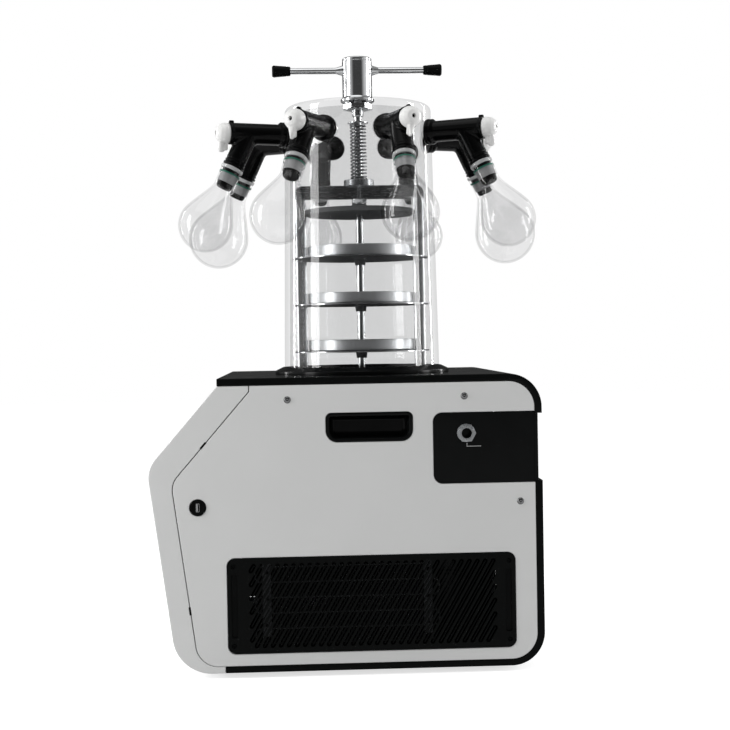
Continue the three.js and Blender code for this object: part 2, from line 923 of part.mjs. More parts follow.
const condenserRight = halfWidth + grilleProud - grilleThickness - condenserFromGrille;
const condenserLeft = condenserRight - condenserDepth;
const condenserFront = condenserCentreY - condenserLength / 2;
const condenserRear = condenserCentreY + condenserLength / 2;
const condenserFloor = floorTop + condenserRise;
const condenserTop = condenserFloor + condenserHeight;
const endPlateTop = condenserTop + condenserPlateRise;

// The condenser: a fin block between two end plates, with the tube bends at its ends.
function condenser() {
  const fins = block(
    condenserLeft + finInset,
    condenserRight - finInset,
    condenserFront,
    condenserRear,
    condenserFloor,
    condenserTop,
  );
  const plates = [condenserFront, condenserRear - condenserPlate].map((y) =>
    block(condenserLeft, condenserRight, y, y + condenserPlate, floorTop, endPlateTop),
  );
  const pitch = condenserHeight / bendCount;
  const bends = Array.from({ length: bendCount }, (_, row) => {
    const z = condenserFloor + pitch * (row + 0.5);
    return [condenserFront - bendReach, condenserRear - past].map((y) =>
      block(
        condenserLeft + bendInset,
        condenserRight - bendInset,
        y,
        y + bendReach + past,
        z - bendHeight / 2,
        z + bendHeight / 2,
      ),
    );
  });
  return union(fins, ...plates, ...bends.flat());
}

const fanHeight = (condenserFloor + condenserTop) / 2;
const shroudX = condenserLeft - fitGap;
const motorFace = shroudX - ductDepth;

// Outlines across the fan's axis, drawn round that axis.
const round = (radius, sides) => polygon(condenserCentreY, fanHeight, radius, sides);

// The fan's frame: shroud plate and duct, with the motor held in it on four arms.
function fanFrame() {
  const duct = fanRadius + tipGap;
  const armFoot = motorFace - armWidth;
  const bore = alongX(round(duct, ductSegments), armFoot - past, shroudX + past);
  const plate = block(
    shroudX - sheet,
    shroudX,
    condenserFront,
    condenserRear,
    floorTop,
    endPlateTop,
  );
  const ring = alongX(round(duct + sheet, ductSegments), armFoot, shroudX - sheet / 2);
  const long = duct + sheet / 2;
  const short = armWidth / 2;
  const arms = [
    block(armFoot, armFoot + armThickness, -long, long, -short, short),
    block(armFoot, armFoot + armThickness, -short, short, -long, long),
  ].map((arm) => arm.translate([0, condenserCentreY, fanHeight]));
  const motor = alongX(round(motorRadius, pipeSegments), motorFace - motorLength, motorFace);
  return union(cut(union(plate, ring), bore), motor, ...arms);
}

function fanRotor() {
  const from = motorFace + motorToFan;
  const hub = alongX(polygon(0, 0, fanHubRadius, pipeSegments), from, from + fanDepth);
  const shaft = rodX(fanShaftRadius, motorFace + fitGap, from + past);
  const bladeFoot = fanHubRadius - 3 * past;
  const blade = block(
    -bladeWidth / 2,
    bladeWidth / 2,
    -bladeThickness / 2,
    bladeThickness / 2,
    bladeFoot,
    fanRadius,
  );
  const blades = Array.from({ length: fanBlades }, (_, i) =>
    blade
      .rotate([0, 0, bladePitch])
      .translate([from + fanDepth / 2, 0, 0])
      .rotate([(360 / fanBlades) * i, 0, 0]),
  );
  return union(hub, shaft, ...blades);
}

add("cold_trap", coldTrap(), "brushed_steel");
add("compressor", compressor(), "compressor_paint");
add("condenser", condenser(), "fin_aluminium");
add("fan_frame", fanFrame(), "black_plastic");
const rotor = add("fan_rotor", fanRotor(), "black_plastic");
rotor.position.set(0, condenserCentreY, fanHeight);

// ------------------------------------------------------------------ chamber
// From here on heights are above the cover's top face, and the pieces hang in this group.

const deck = new THREE.Group();
deck.position.z = casingTop;
root.add(deck);

const chamberRadius = (height) => chamberBaseRadius - height * Math.tan(chamberDraft);
const ringRadius = chamberBaseRadius + ringWidth;
const ringFoot = fitGap;
const ringLand = ringFoot + ringFloor;
const gasketFoot = ringLand + fitGap;
const chamberFoot = gasketFoot + gasketHeight + fitGap;
const ringBore = chamberBaseRadius + ringGap;

const baseRing = () =>
  turned(
    [
      [ringRadius, ringFoot],
      [ringRadius, ringFoot + ringEdge],
      [ringBore + ringCrown, ringHeight],
      [ringBore, ringHeight],
      [ringBore, ringLand],
      [trapRadius, ringLand],
      [trapRadius, ringFoot],
    ],
    roundSegments,
  );

function gasket() {
  const outer = ringBore - fitGap;
  const inner = outer - gasketWidth;
  const top = gasketFoot + gasketHeight;
  return turned(
    [
      [outer, gasketFoot],
      [outer, top],
      [inner, top],
      [inner, gasketFoot],
    ],
    roundSegments,
  );
}

const portHeight = chamberHeight - portBelowLid;
const portSeat = chamberRadius(portHeight) + portBossProud;
const portAngle = (index) => firstPortAngle + (360 / portCount) * index;

// A copy of a body at each port, turned round the chamber's axis.
const atPorts = (body) =>
  Array.from({ length: portCount }, (_, i) => body.rotate([0, 0, portAngle(i)]));

// The chamber: a drafted wall with a closed top, and a boss and nipple at each port.
function chamber() {
  const steps = Math.PI / 2 / arcStep;
  const corner = Array.from({ length: steps + 1 }, (_, i) => {
    const angle = arcStep * i;
    return [
      chamberRadius(chamberHeight) - lidCornerRadius * (1 - Math.cos(angle)),
      chamberHeight - lidCornerRadius * (1 - Math.sin(angle)),
    ];
  });
  const lidUnder = chamberHeight - lidThickness;
  const nutSeat = chamberHeight - nutRecess;
  const shell = turned(
    [
      [chamberRadius(chamberFoot), chamberFoot],
      ...corner,
      [nutRadius + nutClearance, chamberHeight],
      [nutRadius + nutClearance, nutSeat],
      [shankRadius + fitGap, nutSeat],
      [shankRadius + fitGap, lidUnder],
      [chamberRadius(lidUnder) - chamberWall, lidUnder],
      [chamberRadius(chamberFoot) - chamberWall, chamberFoot],
    ],
    roundSegments,
  );
  const inWall = portSeat - portBossProud - chamberWall / 2;
  const boss = rodX(portBossRadius, inWall, portSeat, bossSegments);
  const nipple = rodX(nippleRadius, inWall, portSeat + nippleLength);
  const bore = rodX(nippleBore, inWall - chamberWall, portSeat + nippleLength + past);
  const raise = (body) => body.translate([0, 0, portHeight]);
  return cut(
    union(shell, ...atPorts(raise(union(boss, nipple)))),
    ...atPorts(raise(bore)),
  );
}

add("base_ring", baseRing(), "black_gloss", deck);
add("chamber_gasket", gasket(), "rubber", deck);
add("chamber", chamber(), "clear_acrylic", deck);

// ------------------------------------------------------------------ press

const nutFoot = chamberHeight - nutRecess + fitGap;
const nutTop = nutFoot + nutHeight;
const collarFoot = nutTop + fitGap;
const hubFoot = collarFoot + collarHeight;
const hubTop = hubFoot + hubHeight;
const barZ = hubFoot + barHeight;
const shaftTop = hubFoot + shaftInHub;
const washerHeight = chamberHeight - washerBelowLid;
const crossbarTop = chamberHeight - crossbarBelowLid;
const crossbarUnder = crossbarTop - crossbarHeight;
const bushTop = crossbarTop + bushHeight;
const plateTop = crossbarUnder - plateBelowCrossbar;
const plateFoot = plateTop - plateHeight;
const shelfRadius = chamberBaseRadius - chamberWall - shelfToWall;
const legOuter = shelfRadius - legInset;
const legInner = legOuter - legWidth;
const trayRadius = legInner - trayToLeg;
const plateRadius = legInner - plateToLeg;

function lidNut() {
  const shankFoot = chamberHeight - lidThickness - shankBelowLid;
  return cut(
    union(
      alongZ(polygon(0, 0, nutRadius, 6, Math.PI / 6), nutFoot, nutTop),
      rod(shankRadius, shankFoot, nutFoot + past),
    ),
    rod(boreRadius(shaftRadius), shankFoot - past, nutTop + past),
  );
}

// The handle: a threaded hub with its collar, and the bar welded through it.
function handle() {
  const half = barSpan / 2 - barSetback;
  const hub = turned(
    [
      [0, collarFoot],
      [collarRadius - collarChamfer, collarFoot],
      [collarRadius, collarFoot + collarChamfer],
      [collarRadius, hubFoot - collarChamfer],
      [hubRadius, hubFoot],
      [hubRadius, hubTop - hubGrooveDrop],
      [hubRadius - hubGroove, hubTop - hubGrooveDrop + hubGroove / 2],
      [hubRadius - hubGroove, hubTop - hubBevel],
      [hubRadius - hubGroove - hubBevel, hubTop],
      [0, hubTop],
    ],
    traySegments,
  );
  const inHub = hubRadius - 2 * past;
  const weld = inHub + weldLength;
  const bar = turned(
    [
      [0, -half],
      [barRadius, -half],
      [barRadius, -weld],
      [barRadius + weldHeight, -inHub],
      [barRadius + weldHeight, inHub],
      [barRadius, weld],
      [barRadius, half],
      [0, half],
    ],
    pipeSegments,
  );
  return cut(
    union(hub, bar.rotate([-90, 0, 0]).translate([0, 0, barZ])),
    rod(boreRadius(shaftRadius), collarFoot - past, shaftTop + 2 * past),
  );
}

// A grip: a tapered sleeve, closed at its outer end. Its axis is Y once it is turned.
function grip(side) {
  const outer = barSpan / 2;
  const inner = outer - gripLength;
  const socketEnd = outer - barSetback + past;
  const sleeve = turned(
    [
      [0, socketEnd],
      [barRadius + turnGap, socketEnd],
      [barRadius + turnGap, inner],
      [gripInnerRadius, inner],
      [gripOuterRadius, outer - gripChamfer],
      [gripOuterRadius - gripChamfer, outer],
      [0, outer],
    ],
    pipeSegments,
  );
  return sleeve.rotate([side * -90, 0, 0]).translate([0, 0, barZ]);
}

// The shaft with its washer and stop nut, and the guide rod that goes on down through the shelves.
function pressShaft() {
  const stopTop = crossbarUnder - fitGap;
  const stopFoot = stopTop - stopNutHeight;
  const rodFoot = -rodBelowCover;
  const turnedPart = turned(
    [
      [0, rodFoot],
      [rodRadius - rodChamfer, rodFoot],
      [rodRadius, rodFoot + 2 * rodChamfer],
      [rodRadius, stopFoot - past],
      [shaftRadius, stopFoot],
      [shaftRadius, washerHeight],
      [washerRadius, washerHeight],
      [washerRadius, washerHeight + washerThickness],
      [shaftRadius, washerHeight + washerThickness],
      [shaftRadius, shaftTop - rodChamfer],
      [shaftRadius - rodChamfer, shaftTop],
      [0, shaftTop],
    ],
    pipeSegments,
  );
  return union(turnedPart, alongZ(polygon(0, 0, stopNutRadius, 6), stopFoot, stopTop));
}

class Helix extends THREE.Curve {
  constructor(radius, foot, top, turns) {
    super();
    Object.assign(this, { radius, foot, top, turns });
  }
  getPoint(t, target = new THREE.Vector3()) {
    const angle = 2 * Math.PI * this.turns * t;
    const height = THREE.MathUtils.lerp(this.foot, this.top, t);
    return target.set(this.radius * Math.cos(angle), this.radius * Math.sin(angle), height);
  }
}

function pressSpring() {
  const wire = springWire / 2;
  const seat = wire + fitGap;
  const coil = new Helix(springRadius, bushTop + seat, washerHeight - seat, springTurns);
  const section = new THREE.Shape(polygon(0, 0, wire, wireSides));
  const steps = springTurns * stepsPerTurn;
  return solid(new THREE.ExtrudeGeometry(section, { steps, extrudePath: coil }));
}

// The press plate: a disc with a hub that stands under the shaft's stop nut.
function pressPlate() {
  const bore = rodRadius + fitGap;
  const hubHead = crossbarUnder - fitGap - stopNutHeight - plateHubToNut;
  return turned(
    [
      [plateRadius, plateFoot],
      [plateRadius, plateTop - plateChamfer],
      [plateRadius - plateChamfer, plateTop],
      [plateHubRadius, plateTop],
      [plateHubRadius, hubHead - plateChamfer],
      [plateHubRadius - plateChamfer, hubHead],
      [bore, hubHead],
      [bore, plateFoot],
    ],
    shelfSegments,
  );
}

add("lid_nut", lidNut(), "polished_steel", deck);
add("handle", handle(), "polished_steel", deck);
add("grip_front", grip(-1), "black_plastic", deck);
add("grip_rear", grip(1), "black_plastic", deck);
add("press_shaft", pressShaft(), "polished_steel", deck);
add("press_spring", pressSpring(), "polished_steel", deck);
add("press_plate", pressPlate(), "brushed_steel", deck);

// ------------------------------------------------------------------ rack, shelves and trays

const lastShelfHeight = plateFoot - lastShelfBelowPlate;
const shelfHeights = Array.from({ length: shelfCount }, (_, i) =>
  THREE.MathUtils.lerp(firstShelfHeight, lastShelfHeight, i / (shelfCount - 1)),
);

// The rack frame: a crossbar on two legs, with its feet, ledge pins and the shaft's bush.
function rackFrame() {
  const foot = ringLand + fitGap;
  const arch = rounded([
    [-legOuter, foot],
    [-legInner, foot],
    [-legInner, crossbarUnder],
    [legInner, crossbarUnder],
    [legInner, foot],
    [legOuter, foot],
    [legOuter, crossbarTop, rackCorner],
    [-legOuter, crossbarTop, rackCorner],
  ]);
  const halfFoot = rackFootWidth / 2;
  const rightFoot = block(
    -halfFoot,
    halfFoot,
    legInner,
    legInner + rackFootLength,
    foot,
    foot + rackFootThickness,
  );
  const pins = shelfHeights.flatMap((height) =>
    [-1, 1].map((side) => {
      const z = height - fitGap - ledgePinRadius;
      const y = side * (legInner + legWidth / 2);
      return rodX(ledgePinRadius, -ledgePinLength / 2, ledgePinLength / 2).translate([0, y, z]);
    }),
  );
  const bush = rod(bushRadius, crossbarTop - past, bushTop, traySegments);
  const frame = alongX(arch, -rackDepth / 2, rackDepth / 2);
  return cut(
    union(frame, bush, rightFoot, rightFoot.mirror([0, 1, 0]), ...pins),
    rod(boreRadius(shaftRadius), crossbarUnder - past, bushTop + past),
  );
}

// A shelf: a disc with a window for each leg and a guide boss round the rod.
function shelf(height) {
  const top = height + shelfThickness;
  const bossFoot = height - shelfBossHeight;
  const half = rackDepth / 2 + turnGap;
  const window = block(
    -half,
    half,
    legInner - turnGap,
    legOuter + turnGap,
    height - past,
    top + past,
  );
  const disc = rod(shelfRadius, height, top, shelfSegments);
  const boss = turned(
    [
      [0, bossFoot],
      [shelfBossRadius - shelfBossTaper, bossFoot],
      [shelfBossRadius, height + past],
      [0, height + past],
    ],
    pipeSegments,
  );
  const bore = rod(boreRadius(rodRadius), bossFoot - past, top + past);
  return cut(union(disc, boss), window, window.mirror([0, 1, 0]), bore);
}

// A tray: a round pan with a tube in the middle for the rod.
function tray(height) {
  const foot = height + shelfThickness + fitGap;
  const outer = trayRadius;
  const top = foot + trayHeight;
  return turned(
    [
      [outer, foot],
      [outer, top],
      [outer - trayWall, top],
      [outer - trayWall, foot + trayWall],
      [trayTubeRadius, foot + trayWall],
      [trayTubeRadius, top],
      [trayTubeRadius - trayWall, top],
      [trayTubeRadius - trayWall, foot],
    ],
    traySegments,
  );
}

add("rack_frame", rackFrame(), "brushed_steel", deck);
shelfHeights.forEach((height, i) => {
  add(`shelf_${i + 1}`, shelf(height), "brushed_steel", deck);
  add(`tray_${i + 1}`, tray(height), "polished_steel", deck);
});

// ------------------------------------------------------------------ flask valves
// Made on the +X side, with the valve's axis along +X, then turned to each port.

const valveFoot = portSeat + fitGap;
const valveEnd = valveFoot + valveLength;
const branchX = valveEnd - branchFromEnd;
const mouth = branchLength + mouthGap;
const neckFoot = mouth + neckLength;
const neckBoreTop = neckTopRadius - neckGlass;
const neckBoreFoot = neckBoreTop - jointTaper;
const coneTip = neckFoot + coneOverrun;

// A profile turned about the branch's axis, its heights measured down the branch.
const turnedOnBranch = (profile, segments = pipeSegments) =>
  solid(
    turnedGeometry(profile, segments)
      .rotateY(Math.PI - branchLean)
      .translate(branchX, 0, 0),
  );

function valveBody() {
  const tube = turnedX(
    [
      [0, valveFoot],
      [valveBeadRadius, valveFoot],
      [valveBeadRadius, valveFoot + beadLength],
      [valveRadius, valveFoot + beadLength + valveBevel],
      [valveRadius, valveEnd - lipLength - valveBevel],
      [valveLipRadius, valveEnd - lipLength],
      [valveLipRadius, valveEnd],
      [0, valveEnd],
    ],
    pipeSegments,
  );
  const branchRadius = valveRadius - branchStep;
  const branch = turnedOnBranch([
    [0, 0],
    [branchRadius, 0],
    [branchRadius, branchLength - lipLength],
    [valveLipRadius, branchLength - lipLength],
    [valveLipRadius, branchLength],
    [neckBoreTop - fitGap, branchLength],
    [neckBoreTop - fitGap, mouth],
    [neckBoreFoot - fitGap, neckFoot],
    [neckBoreFoot - fitGap, coneTip],
    [0, coneTip],
  ]);
  return cut(
    union(tube, branch),
    rodX(boreRadius(nippleRadius), valveFoot - past, valveEnd + past),
    turnedOnBranch([
      [0, 0],
      [branchBore, 0],
      [branchBore, coneTip + past],
      [0, coneTip + past],
    ]),
  );
}

// A knob with its plug. The plug's bore opens to the side, in line with the branch.
function valveKnob() {
  const plugFoot = portSeat + nippleLength + plugGap;
  const face = valveEnd + turnGap;
  const end = face + knobLength;
  const knob = turnedX(
    [
      [0, plugFoot],
      [nippleRadius, plugFoot],
      [nippleRadius, face],
      [knobRadius, face],
      [knobRadius, face + knobDiscLength],
      [knobShoulderRadius, face + knobShoulder],
      [knobFaceRadius, end],
      [knobHole, end],
      [knobHole, end - knobHoleDepth],
      [0, end - knobHoleDepth],
    ],
    pipeSegments,
  );
  const tip = rounded([
    [-pointerHalfWidth, 0],
    [0, -pointerReach, pointerRadius],
    [pointerHalfWidth, 0],
  ]);
  const pointerEnd = end - pointerSetback;
  const pointer = alongX(tip, pointerEnd - pointerThickness, pointerEnd);
  const bore = rodX(plugBore, plugFoot - past, branchX + plugBore);
  const sideBore = rod(plugBore, -nippleRadius - past, 0).translate([branchX, 0, 0]);
  return cut(union(knob, pointer), bore, sideBore);
}

// The outline of a flask's bulb: a cone from the neck's foot that runs tangent into a sphere.
function bulbProfile(neckRadius, radius, drop) {
  const distance = Math.hypot(neckRadius, drop);
  const tangent = Math.asin(radius / distance) - Math.atan2(neckRadius, drop);
  const centre = neckFoot + drop;
  return Array.from({ length: bulbSteps + 1 }, (_, i) => {
    const angle = THREE.MathUtils.lerp(-tangent, Math.PI / 2, i / bulbSteps);
    const across = i === bulbSteps ? 0 : radius * Math.cos(angle);
    return [across, centre + radius * Math.sin(angle)];
  });
}

// A pear-shaped flask with a lipped, ground neck, open at its mouth. The drop is from the neck's
// foot to the middle of its bulb.
function flask(radius, drop) {
  const outside = [
    [mouthLipRadius, mouth],
    [mouthLipRadius, mouth + mouthLipHeight],
    [neckTopRadius, mouth + mouthLipHeight + mouthLipTaper],
    [neckFootRadius, neckFoot],
    ...bulbProfile(neckFootRadius, radius, drop),
  ];
  const inside = [
    [neckBoreTop, mouth],
    [neckBoreFoot, neckFoot],
    ...bulbProfile(neckBoreFoot, radius - flaskGlass, drop),
  ];
  return turnedOnBranch([...inside.reverse(), ...outside]);
}

const rubberBody = valveBody();
const knobWithPlug = valveKnob();
const smallFlask = flask(flaskRadius, flaskCentre);
const largeFlask = flask(largeFlaskRadius, largeFlaskCentre);
for (let port = 1; port <= portCount; port++) {
  const place = new THREE.Group();
  const turn = THREE.MathUtils.degToRad(valveTurns[port - 1]);
  const angle = THREE.MathUtils.degToRad(portAngle(port - 1));
  place.position.z = portHeight;
  place.rotation.set(turn, 0, angle, "ZYX");
  deck.add(place);
  add(`valve_body_${port}`, rubberBody, "rubber", place);
  add(`valve_knob_${port}`, knobWithPlug, "white_plastic", place);
  const isLarge = largeFlaskPorts.includes(port);
  add(`flask_${port}`, isLarge ? largeFlask : smallFlask, "clear_glass", place);
}

// ------------------------------------------------------------------ the part's frame
// The origin is under the middle of the bounding box, on the surface that the feet stand on.

root.updateMatrixWorld(true);
const bounds = new THREE.Box3().setFromObject(root, true);
const centre = bounds.getCenter(new THREE.Vector3());
root.position.set(-centre.x, -centre.y, -bounds.min.z);

export default root;
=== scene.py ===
import math

import bmesh
import bpy
from mathutils import Matrix, Vector
from mathutils.geometry import tessellate_polygon


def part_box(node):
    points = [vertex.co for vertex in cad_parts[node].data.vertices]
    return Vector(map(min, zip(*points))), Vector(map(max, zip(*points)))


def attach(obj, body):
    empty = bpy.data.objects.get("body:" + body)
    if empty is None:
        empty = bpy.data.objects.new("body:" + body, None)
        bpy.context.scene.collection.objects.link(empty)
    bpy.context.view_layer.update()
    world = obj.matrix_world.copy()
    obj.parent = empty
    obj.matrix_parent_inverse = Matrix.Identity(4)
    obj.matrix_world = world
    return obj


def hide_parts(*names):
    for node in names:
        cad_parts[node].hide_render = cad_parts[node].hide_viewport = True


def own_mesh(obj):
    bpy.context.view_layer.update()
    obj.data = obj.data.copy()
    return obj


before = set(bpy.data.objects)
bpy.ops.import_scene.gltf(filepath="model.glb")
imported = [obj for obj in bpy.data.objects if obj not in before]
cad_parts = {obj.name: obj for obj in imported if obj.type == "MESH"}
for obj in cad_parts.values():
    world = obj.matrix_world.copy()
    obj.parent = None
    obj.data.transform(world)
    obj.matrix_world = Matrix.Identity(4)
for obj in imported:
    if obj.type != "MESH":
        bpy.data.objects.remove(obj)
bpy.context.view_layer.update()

# ------------------------------------------------------------------ places and sizes, in millimetres
# Pieces are made round the chamber's axis, with heights from the floor, then moved to the axis.

MM = 0.001
X, Y, Z = 0, 1, 2
FULL_TURN = 2 * math.pi


def low_of(node, axis):
    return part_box(node)[0][axis] / MM


def high_of(node, axis):
    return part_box(node)[1][axis] / MM


def shift(x, y, z):
    return Matrix.Translation((x, y, z))


def turned(degrees, axis):
    return Matrix.Rotation(math.radians(degrees), 4, axis)


def add_object(name, data):
    made = bpy.data.objects.new(name, data)
    bpy.context.scene.collection.objects.link(made)
    return made


def polar(radius, angle):
    return radius * math.cos(angle), radius * math.sin(angle)


ring_low, ring_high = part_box("base_ring")
AXIS_Y = (ring_low[Y] + ring_high[Y]) / 2 / MM
TO_AXIS = shift(0, AXIS_Y, 0)
DECK = high_of("top_cover", Z)
HALF_WIDTH = high_of("top_cover", X)
COVER_FRONT = low_of("top_cover", Y) - AXIS_Y
COVER_REAR = high_of("top_cover", Y) - AXIS_Y
# The front's profile: from the cover's edge down to the nose, and on to the toe.
NOSE_Y, NOSE_Z = -330, DECK - 132
TOE_Y = -290
# Under the casing, and how high the edges of the black cover and tray show on the sides.
FOOT = 8
BAND = 11
TRAY_EDGE = 10
CORNER = 50
# The gauge of its sheets, and how the grilles stand proud of the side panels and reach in behind them.
SHEET = 3
GRILLE_PROUD, GRILLE_DEPTH = 1, 6
# Play between parts that touch, and round a part that sits in a hole.
FIT = 0.3
GAP = 0.5

# ------------------------------------------------------------------ camera

CAMERA_PLACE = Vector((2.285, (AXIS_Y - 93.2) * MM, 0.504))
CAMERA_YAW = math.radians(2.46)
CAMERA_PITCH = math.radians(-1.18)
CAMERA_ROLL = math.radians(-0.99)
CAMERA_LENS, CAMERA_SENSOR = 68.45, 36

forward = Vector((
    -math.cos(CAMERA_YAW) * math.cos(CAMERA_PITCH), math.sin(CAMERA_YAW) * math.cos(CAMERA_PITCH),
    math.sin(CAMERA_PITCH)
))
level_right = forward.cross(Vector((0, 0, 1))).normalized()
level_up = level_right.cross(forward)
right = level_right * math.cos(CAMERA_ROLL) + level_up * math.sin(CAMERA_ROLL)
up = right.cross(forward)
camera_data = bpy.data.cameras.new("camera")
camera_data.lens = CAMERA_LENS
camera_data.sensor_width = CAMERA_SENSOR
camera_data.clip_end = 60
camera = add_object("camera", camera_data)
camera.matrix_world = shift(*CAMERA_PLACE) @ Matrix((right, up, -forward)).transposed().to_4x4()
bpy.context.scene.camera = camera

# ------------------------------------------------------------------ node materials

MATERIALS = {}
WHITE = (1, 1, 1, 1)


class Nodes:
    """The node tree of a material or of the world, with short ways to add and join nodes."""

    def __init__(self, owner, output):
        owner.use_nodes = True
        self.tree = owner.node_tree
        self.tree.nodes.clear()
        self.out = self.add(output)

    def add(self, kind, inputs=(), **settings):
        """A new node. An input is given a plain value, or joined to another node's output."""
        node = self.tree.nodes.new(kind)
        for key, value in settings.items():
            setattr(node, key, value)
        for key, value in dict(inputs).items():
            if isinstance(value, bpy.types.NodeSocket):
                self.tree.links.new(value, node.inputs[key])
            else:
                node.inputs[key].default_value = value
        return node

    def surface(self, node):
        self.tree.links.new(node.outputs[0], self.out.inputs["Surface"])

    def noise(self, scale, detail, rough, stretch=(1, 1, 1)):
        place = self.add("ShaderNodeTexCoord").outputs["Object"]
        place = self.add("ShaderNodeMapping", {"Vector": place, "Scale": stretch}).outputs["Vector"]
        inputs = {"Vector": place, "Scale": scale, "Detail": detail, "Roughness": rough}
        return self.add("ShaderNodeTexNoise", inputs).outputs["Fac"]

    def spread(self, source, low, high, from_low=0.3, from_high=0.7):
        inputs = {"From Min": from_low, "From Max": from_high, "To Min": low, "To Max": high, "Value": source}
        return self.add("ShaderNodeMapRange", inputs).outputs["Result"]

    def mixed(self, factor, first, second):
        inputs = {0: factor, 6: (*first, 1), 7: (*second, 1)}
        return self.add("ShaderNodeMix", inputs, data_type="RGBA").outputs[2]

    def drifting(self, source, color, drift):
        """The colour, a little darker and lighter from place to place."""
        shades = (tuple(min(1.0, c * by) for c in color) for by in (1 - drift, 1 + drift))
        return self.mixed(self.spread(source, 0, 1), *shades)

    def bump(self, height, strength, distance):
        inputs = {"Strength": strength, "Distance": distance, "Height": height}
        return self.add("ShaderNodeBump", inputs).outputs["Normal"]

    def maths(self, operation, *terms):
        return self.add("ShaderNodeMath", enumerate(terms), operation=operation).outputs[0]

    def mixed_shader(self, factor, first, second):
        return self.add("ShaderNodeMixShader", {0: factor, 1: first.outputs[0], 2: second.outputs[0]})

    def ray_share(self, *names):
        """1 for any of these kinds of ray, else 0."""
        path = self.add("ShaderNodeLightPath")
        first, *others = (path.outputs[name] for name in names)
        for other in others:
            first = self.maths("MAXIMUM", first, other)
        return first


def new_material(name):
    MATERIALS[name] = bpy.data.materials.new(name)
    return Nodes(MATERIALS[name], "ShaderNodeOutputMaterial")


def coated(name, color, rough, grain, grain_depth, drift=0.05, spread=0.05, specular=0.5):
    """Paint or moulded plastic: slow drift in colour and gloss, and a fine surface grain."""
    n = new_material(name)
    look = {
        "Specular IOR Level": specular, "Base Color": n.drifting(n.noise(9, 4, 0.55), color, drift),
        "Roughness": n.spread(n.noise(38, 5, 0.6), rough - spread, rough + spread),
        "Normal": n.bump(n.noise(grain, 2, 0.5), 0.25, grain_depth)
    }
    n.surface(n.add("ShaderNodeBsdfPrincipled", look))


def steel(name, color, rough, stretch, spread=0.06):
    """Brushed or polished metal: hairlines drawn along one direction, and faint stains."""
    n = new_material(name)
    lines = n.noise(900, 3, 0.6, stretch)
    look = {
        "Metallic": 1.0, "Base Color": n.drifting(n.noise(14, 4, 0.6), color, 0.08),
        "Roughness": n.spread(lines, rough - spread, rough + spread), "Normal": n.bump(lines, 0.3, 0.00004)
    }
    n.surface(n.add("ShaderNodeBsdfPrincipled", look))


def see_through(name, tint, edge_tint, gloss_rough, ior, most, scratches=0.0, rim=0.55):
    """A clear wall, as thin plastic or glass shows it: it dims what is behind a little, more at a
    glancing angle, and its outer face mirrors the lights by Fresnel's law, up to a limit."""
    n = new_material(name)
    facing = n.add("ShaderNodeLayerWeight", {"Blend": 0.35}).outputs["Facing"]
    dimmed = n.mixed(n.spread(facing, 0, 1, rim, 1.0), tint, edge_tint)
    clear = n.add("ShaderNodeBsdfTransparent", {"Color": dimmed})
    look = {"Roughness": gloss_rough, "Color": WHITE}
    if scratches:
        look["Normal"] = n.bump(n.noise(260, 6, 0.7, (1, 1, 0.15)), scratches, 0.00002)
    gloss = n.add("ShaderNodeBsdfGlossy", look)
    fresnel = n.add("ShaderNodeFresnel", {"IOR": ior}).outputs["Fac"]
    outside = n.maths("SUBTRACT", 1.0, n.add("ShaderNodeNewGeometry").outputs["Backfacing"])
    share = n.maths("MULTIPLY", n.maths("MINIMUM", fresnel, most), outside)
    n.surface(n.mixed_shader(share, clear, gloss))


def clouded(name, color, rough, cover):
    """Ground or printed glass: part of what is behind still shows."""
    n = new_material(name)
    look = {
        "Roughness": rough, "Base Color": n.drifting(n.noise(90, 4, 0.6), color, 0.15),
        "Normal": n.bump(n.noise(1400, 2, 0.5), 0.4, 0.00003)
    }
    body = n.add("ShaderNodeBsdfPrincipled", look)
    n.surface(n.mixed_shader(cover, n.add("ShaderNodeBsdfTransparent"), body))


coated("white_paint", (0.70, 0.705, 0.70), 0.42, 520, 0.00005, drift=0.012)
coated("black_gloss", (0.0030, 0.0034, 0.0034), 0.15, 260, 0.000012, 0.1, 0.05, 0.09)
coated("black_plastic", (0.0030, 0.0034, 0.0033), 0.42, 900, 0.00006, 0.12, 0.07, 0.05)
coated("rubber", (0.0014, 0.0015, 0.0016), 0.2, 700, 0.000006, 0.15, 0.03, 0.1)
steel("polished_steel", (0.66, 0.67, 0.68), 0.13, (1, 1, 0.06), 0.04)
steel("spun_steel", (0.56, 0.57, 0.58), 0.34, (1, 1, 9), 0.05)
steel("brushed_steel", (0.36, 0.37, 0.38), 0.28, (1, 1, 0.05))
coated("dark_steel", (0.115, 0.118, 0.12), 0.5, 600, 0.00003, 0.08, 0.05, 0.0)
steel("spring_steel", (0.24, 0.245, 0.25), 0.16, (1, 1, 1), 0.03)
steel("bar_steel", (0.30, 0.305, 0.31), 0.24, (1, 0.05, 1))
steel("screw_steel", (0.17, 0.172, 0.175), 0.08, (1, 1, 1), 0.03)
# The condenser's aluminium is near black here: painted shade, for the shade inside the closed casing.
steel("fin_aluminium", (0.05, 0.052, 0.054), 0.42, (0.1, 1, 1))
coated("compressor_paint", (0.009, 0.009, 0.010), 0.3, 300, 0.00006, drift=0.1, specular=0.25)
see_through("clear_acrylic", (0.903, 0.904, 0.905), (0.86, 0.861, 0.862), 0.02, 1.45, 0.1, 0.01)
see_through("clear_glass", (0.951, 0.951, 0.952), (0.72, 0.721, 0.722), 0.01, 1.5, 0.038, rim=0.52)
clouded("ground_glass", (0.42, 0.425, 0.43), 0.35, 0.5)
clouded("lip_glass", (0.62, 0.63, 0.63), 0.25, 0.62)
clouded("green_band", (0.01, 0.13, 0.085), 0.35, 0.8)
coated("white_plastic", (0.80, 0.80, 0.79), 0.33, 500, 0.00003, drift=0.02)
coated("screen_glass", (0.004, 0.0045, 0.005), 0.05, 120, 0.000002, 0.05, 0.02, 0.6)

# ------------------------------------------------------------------ shapes


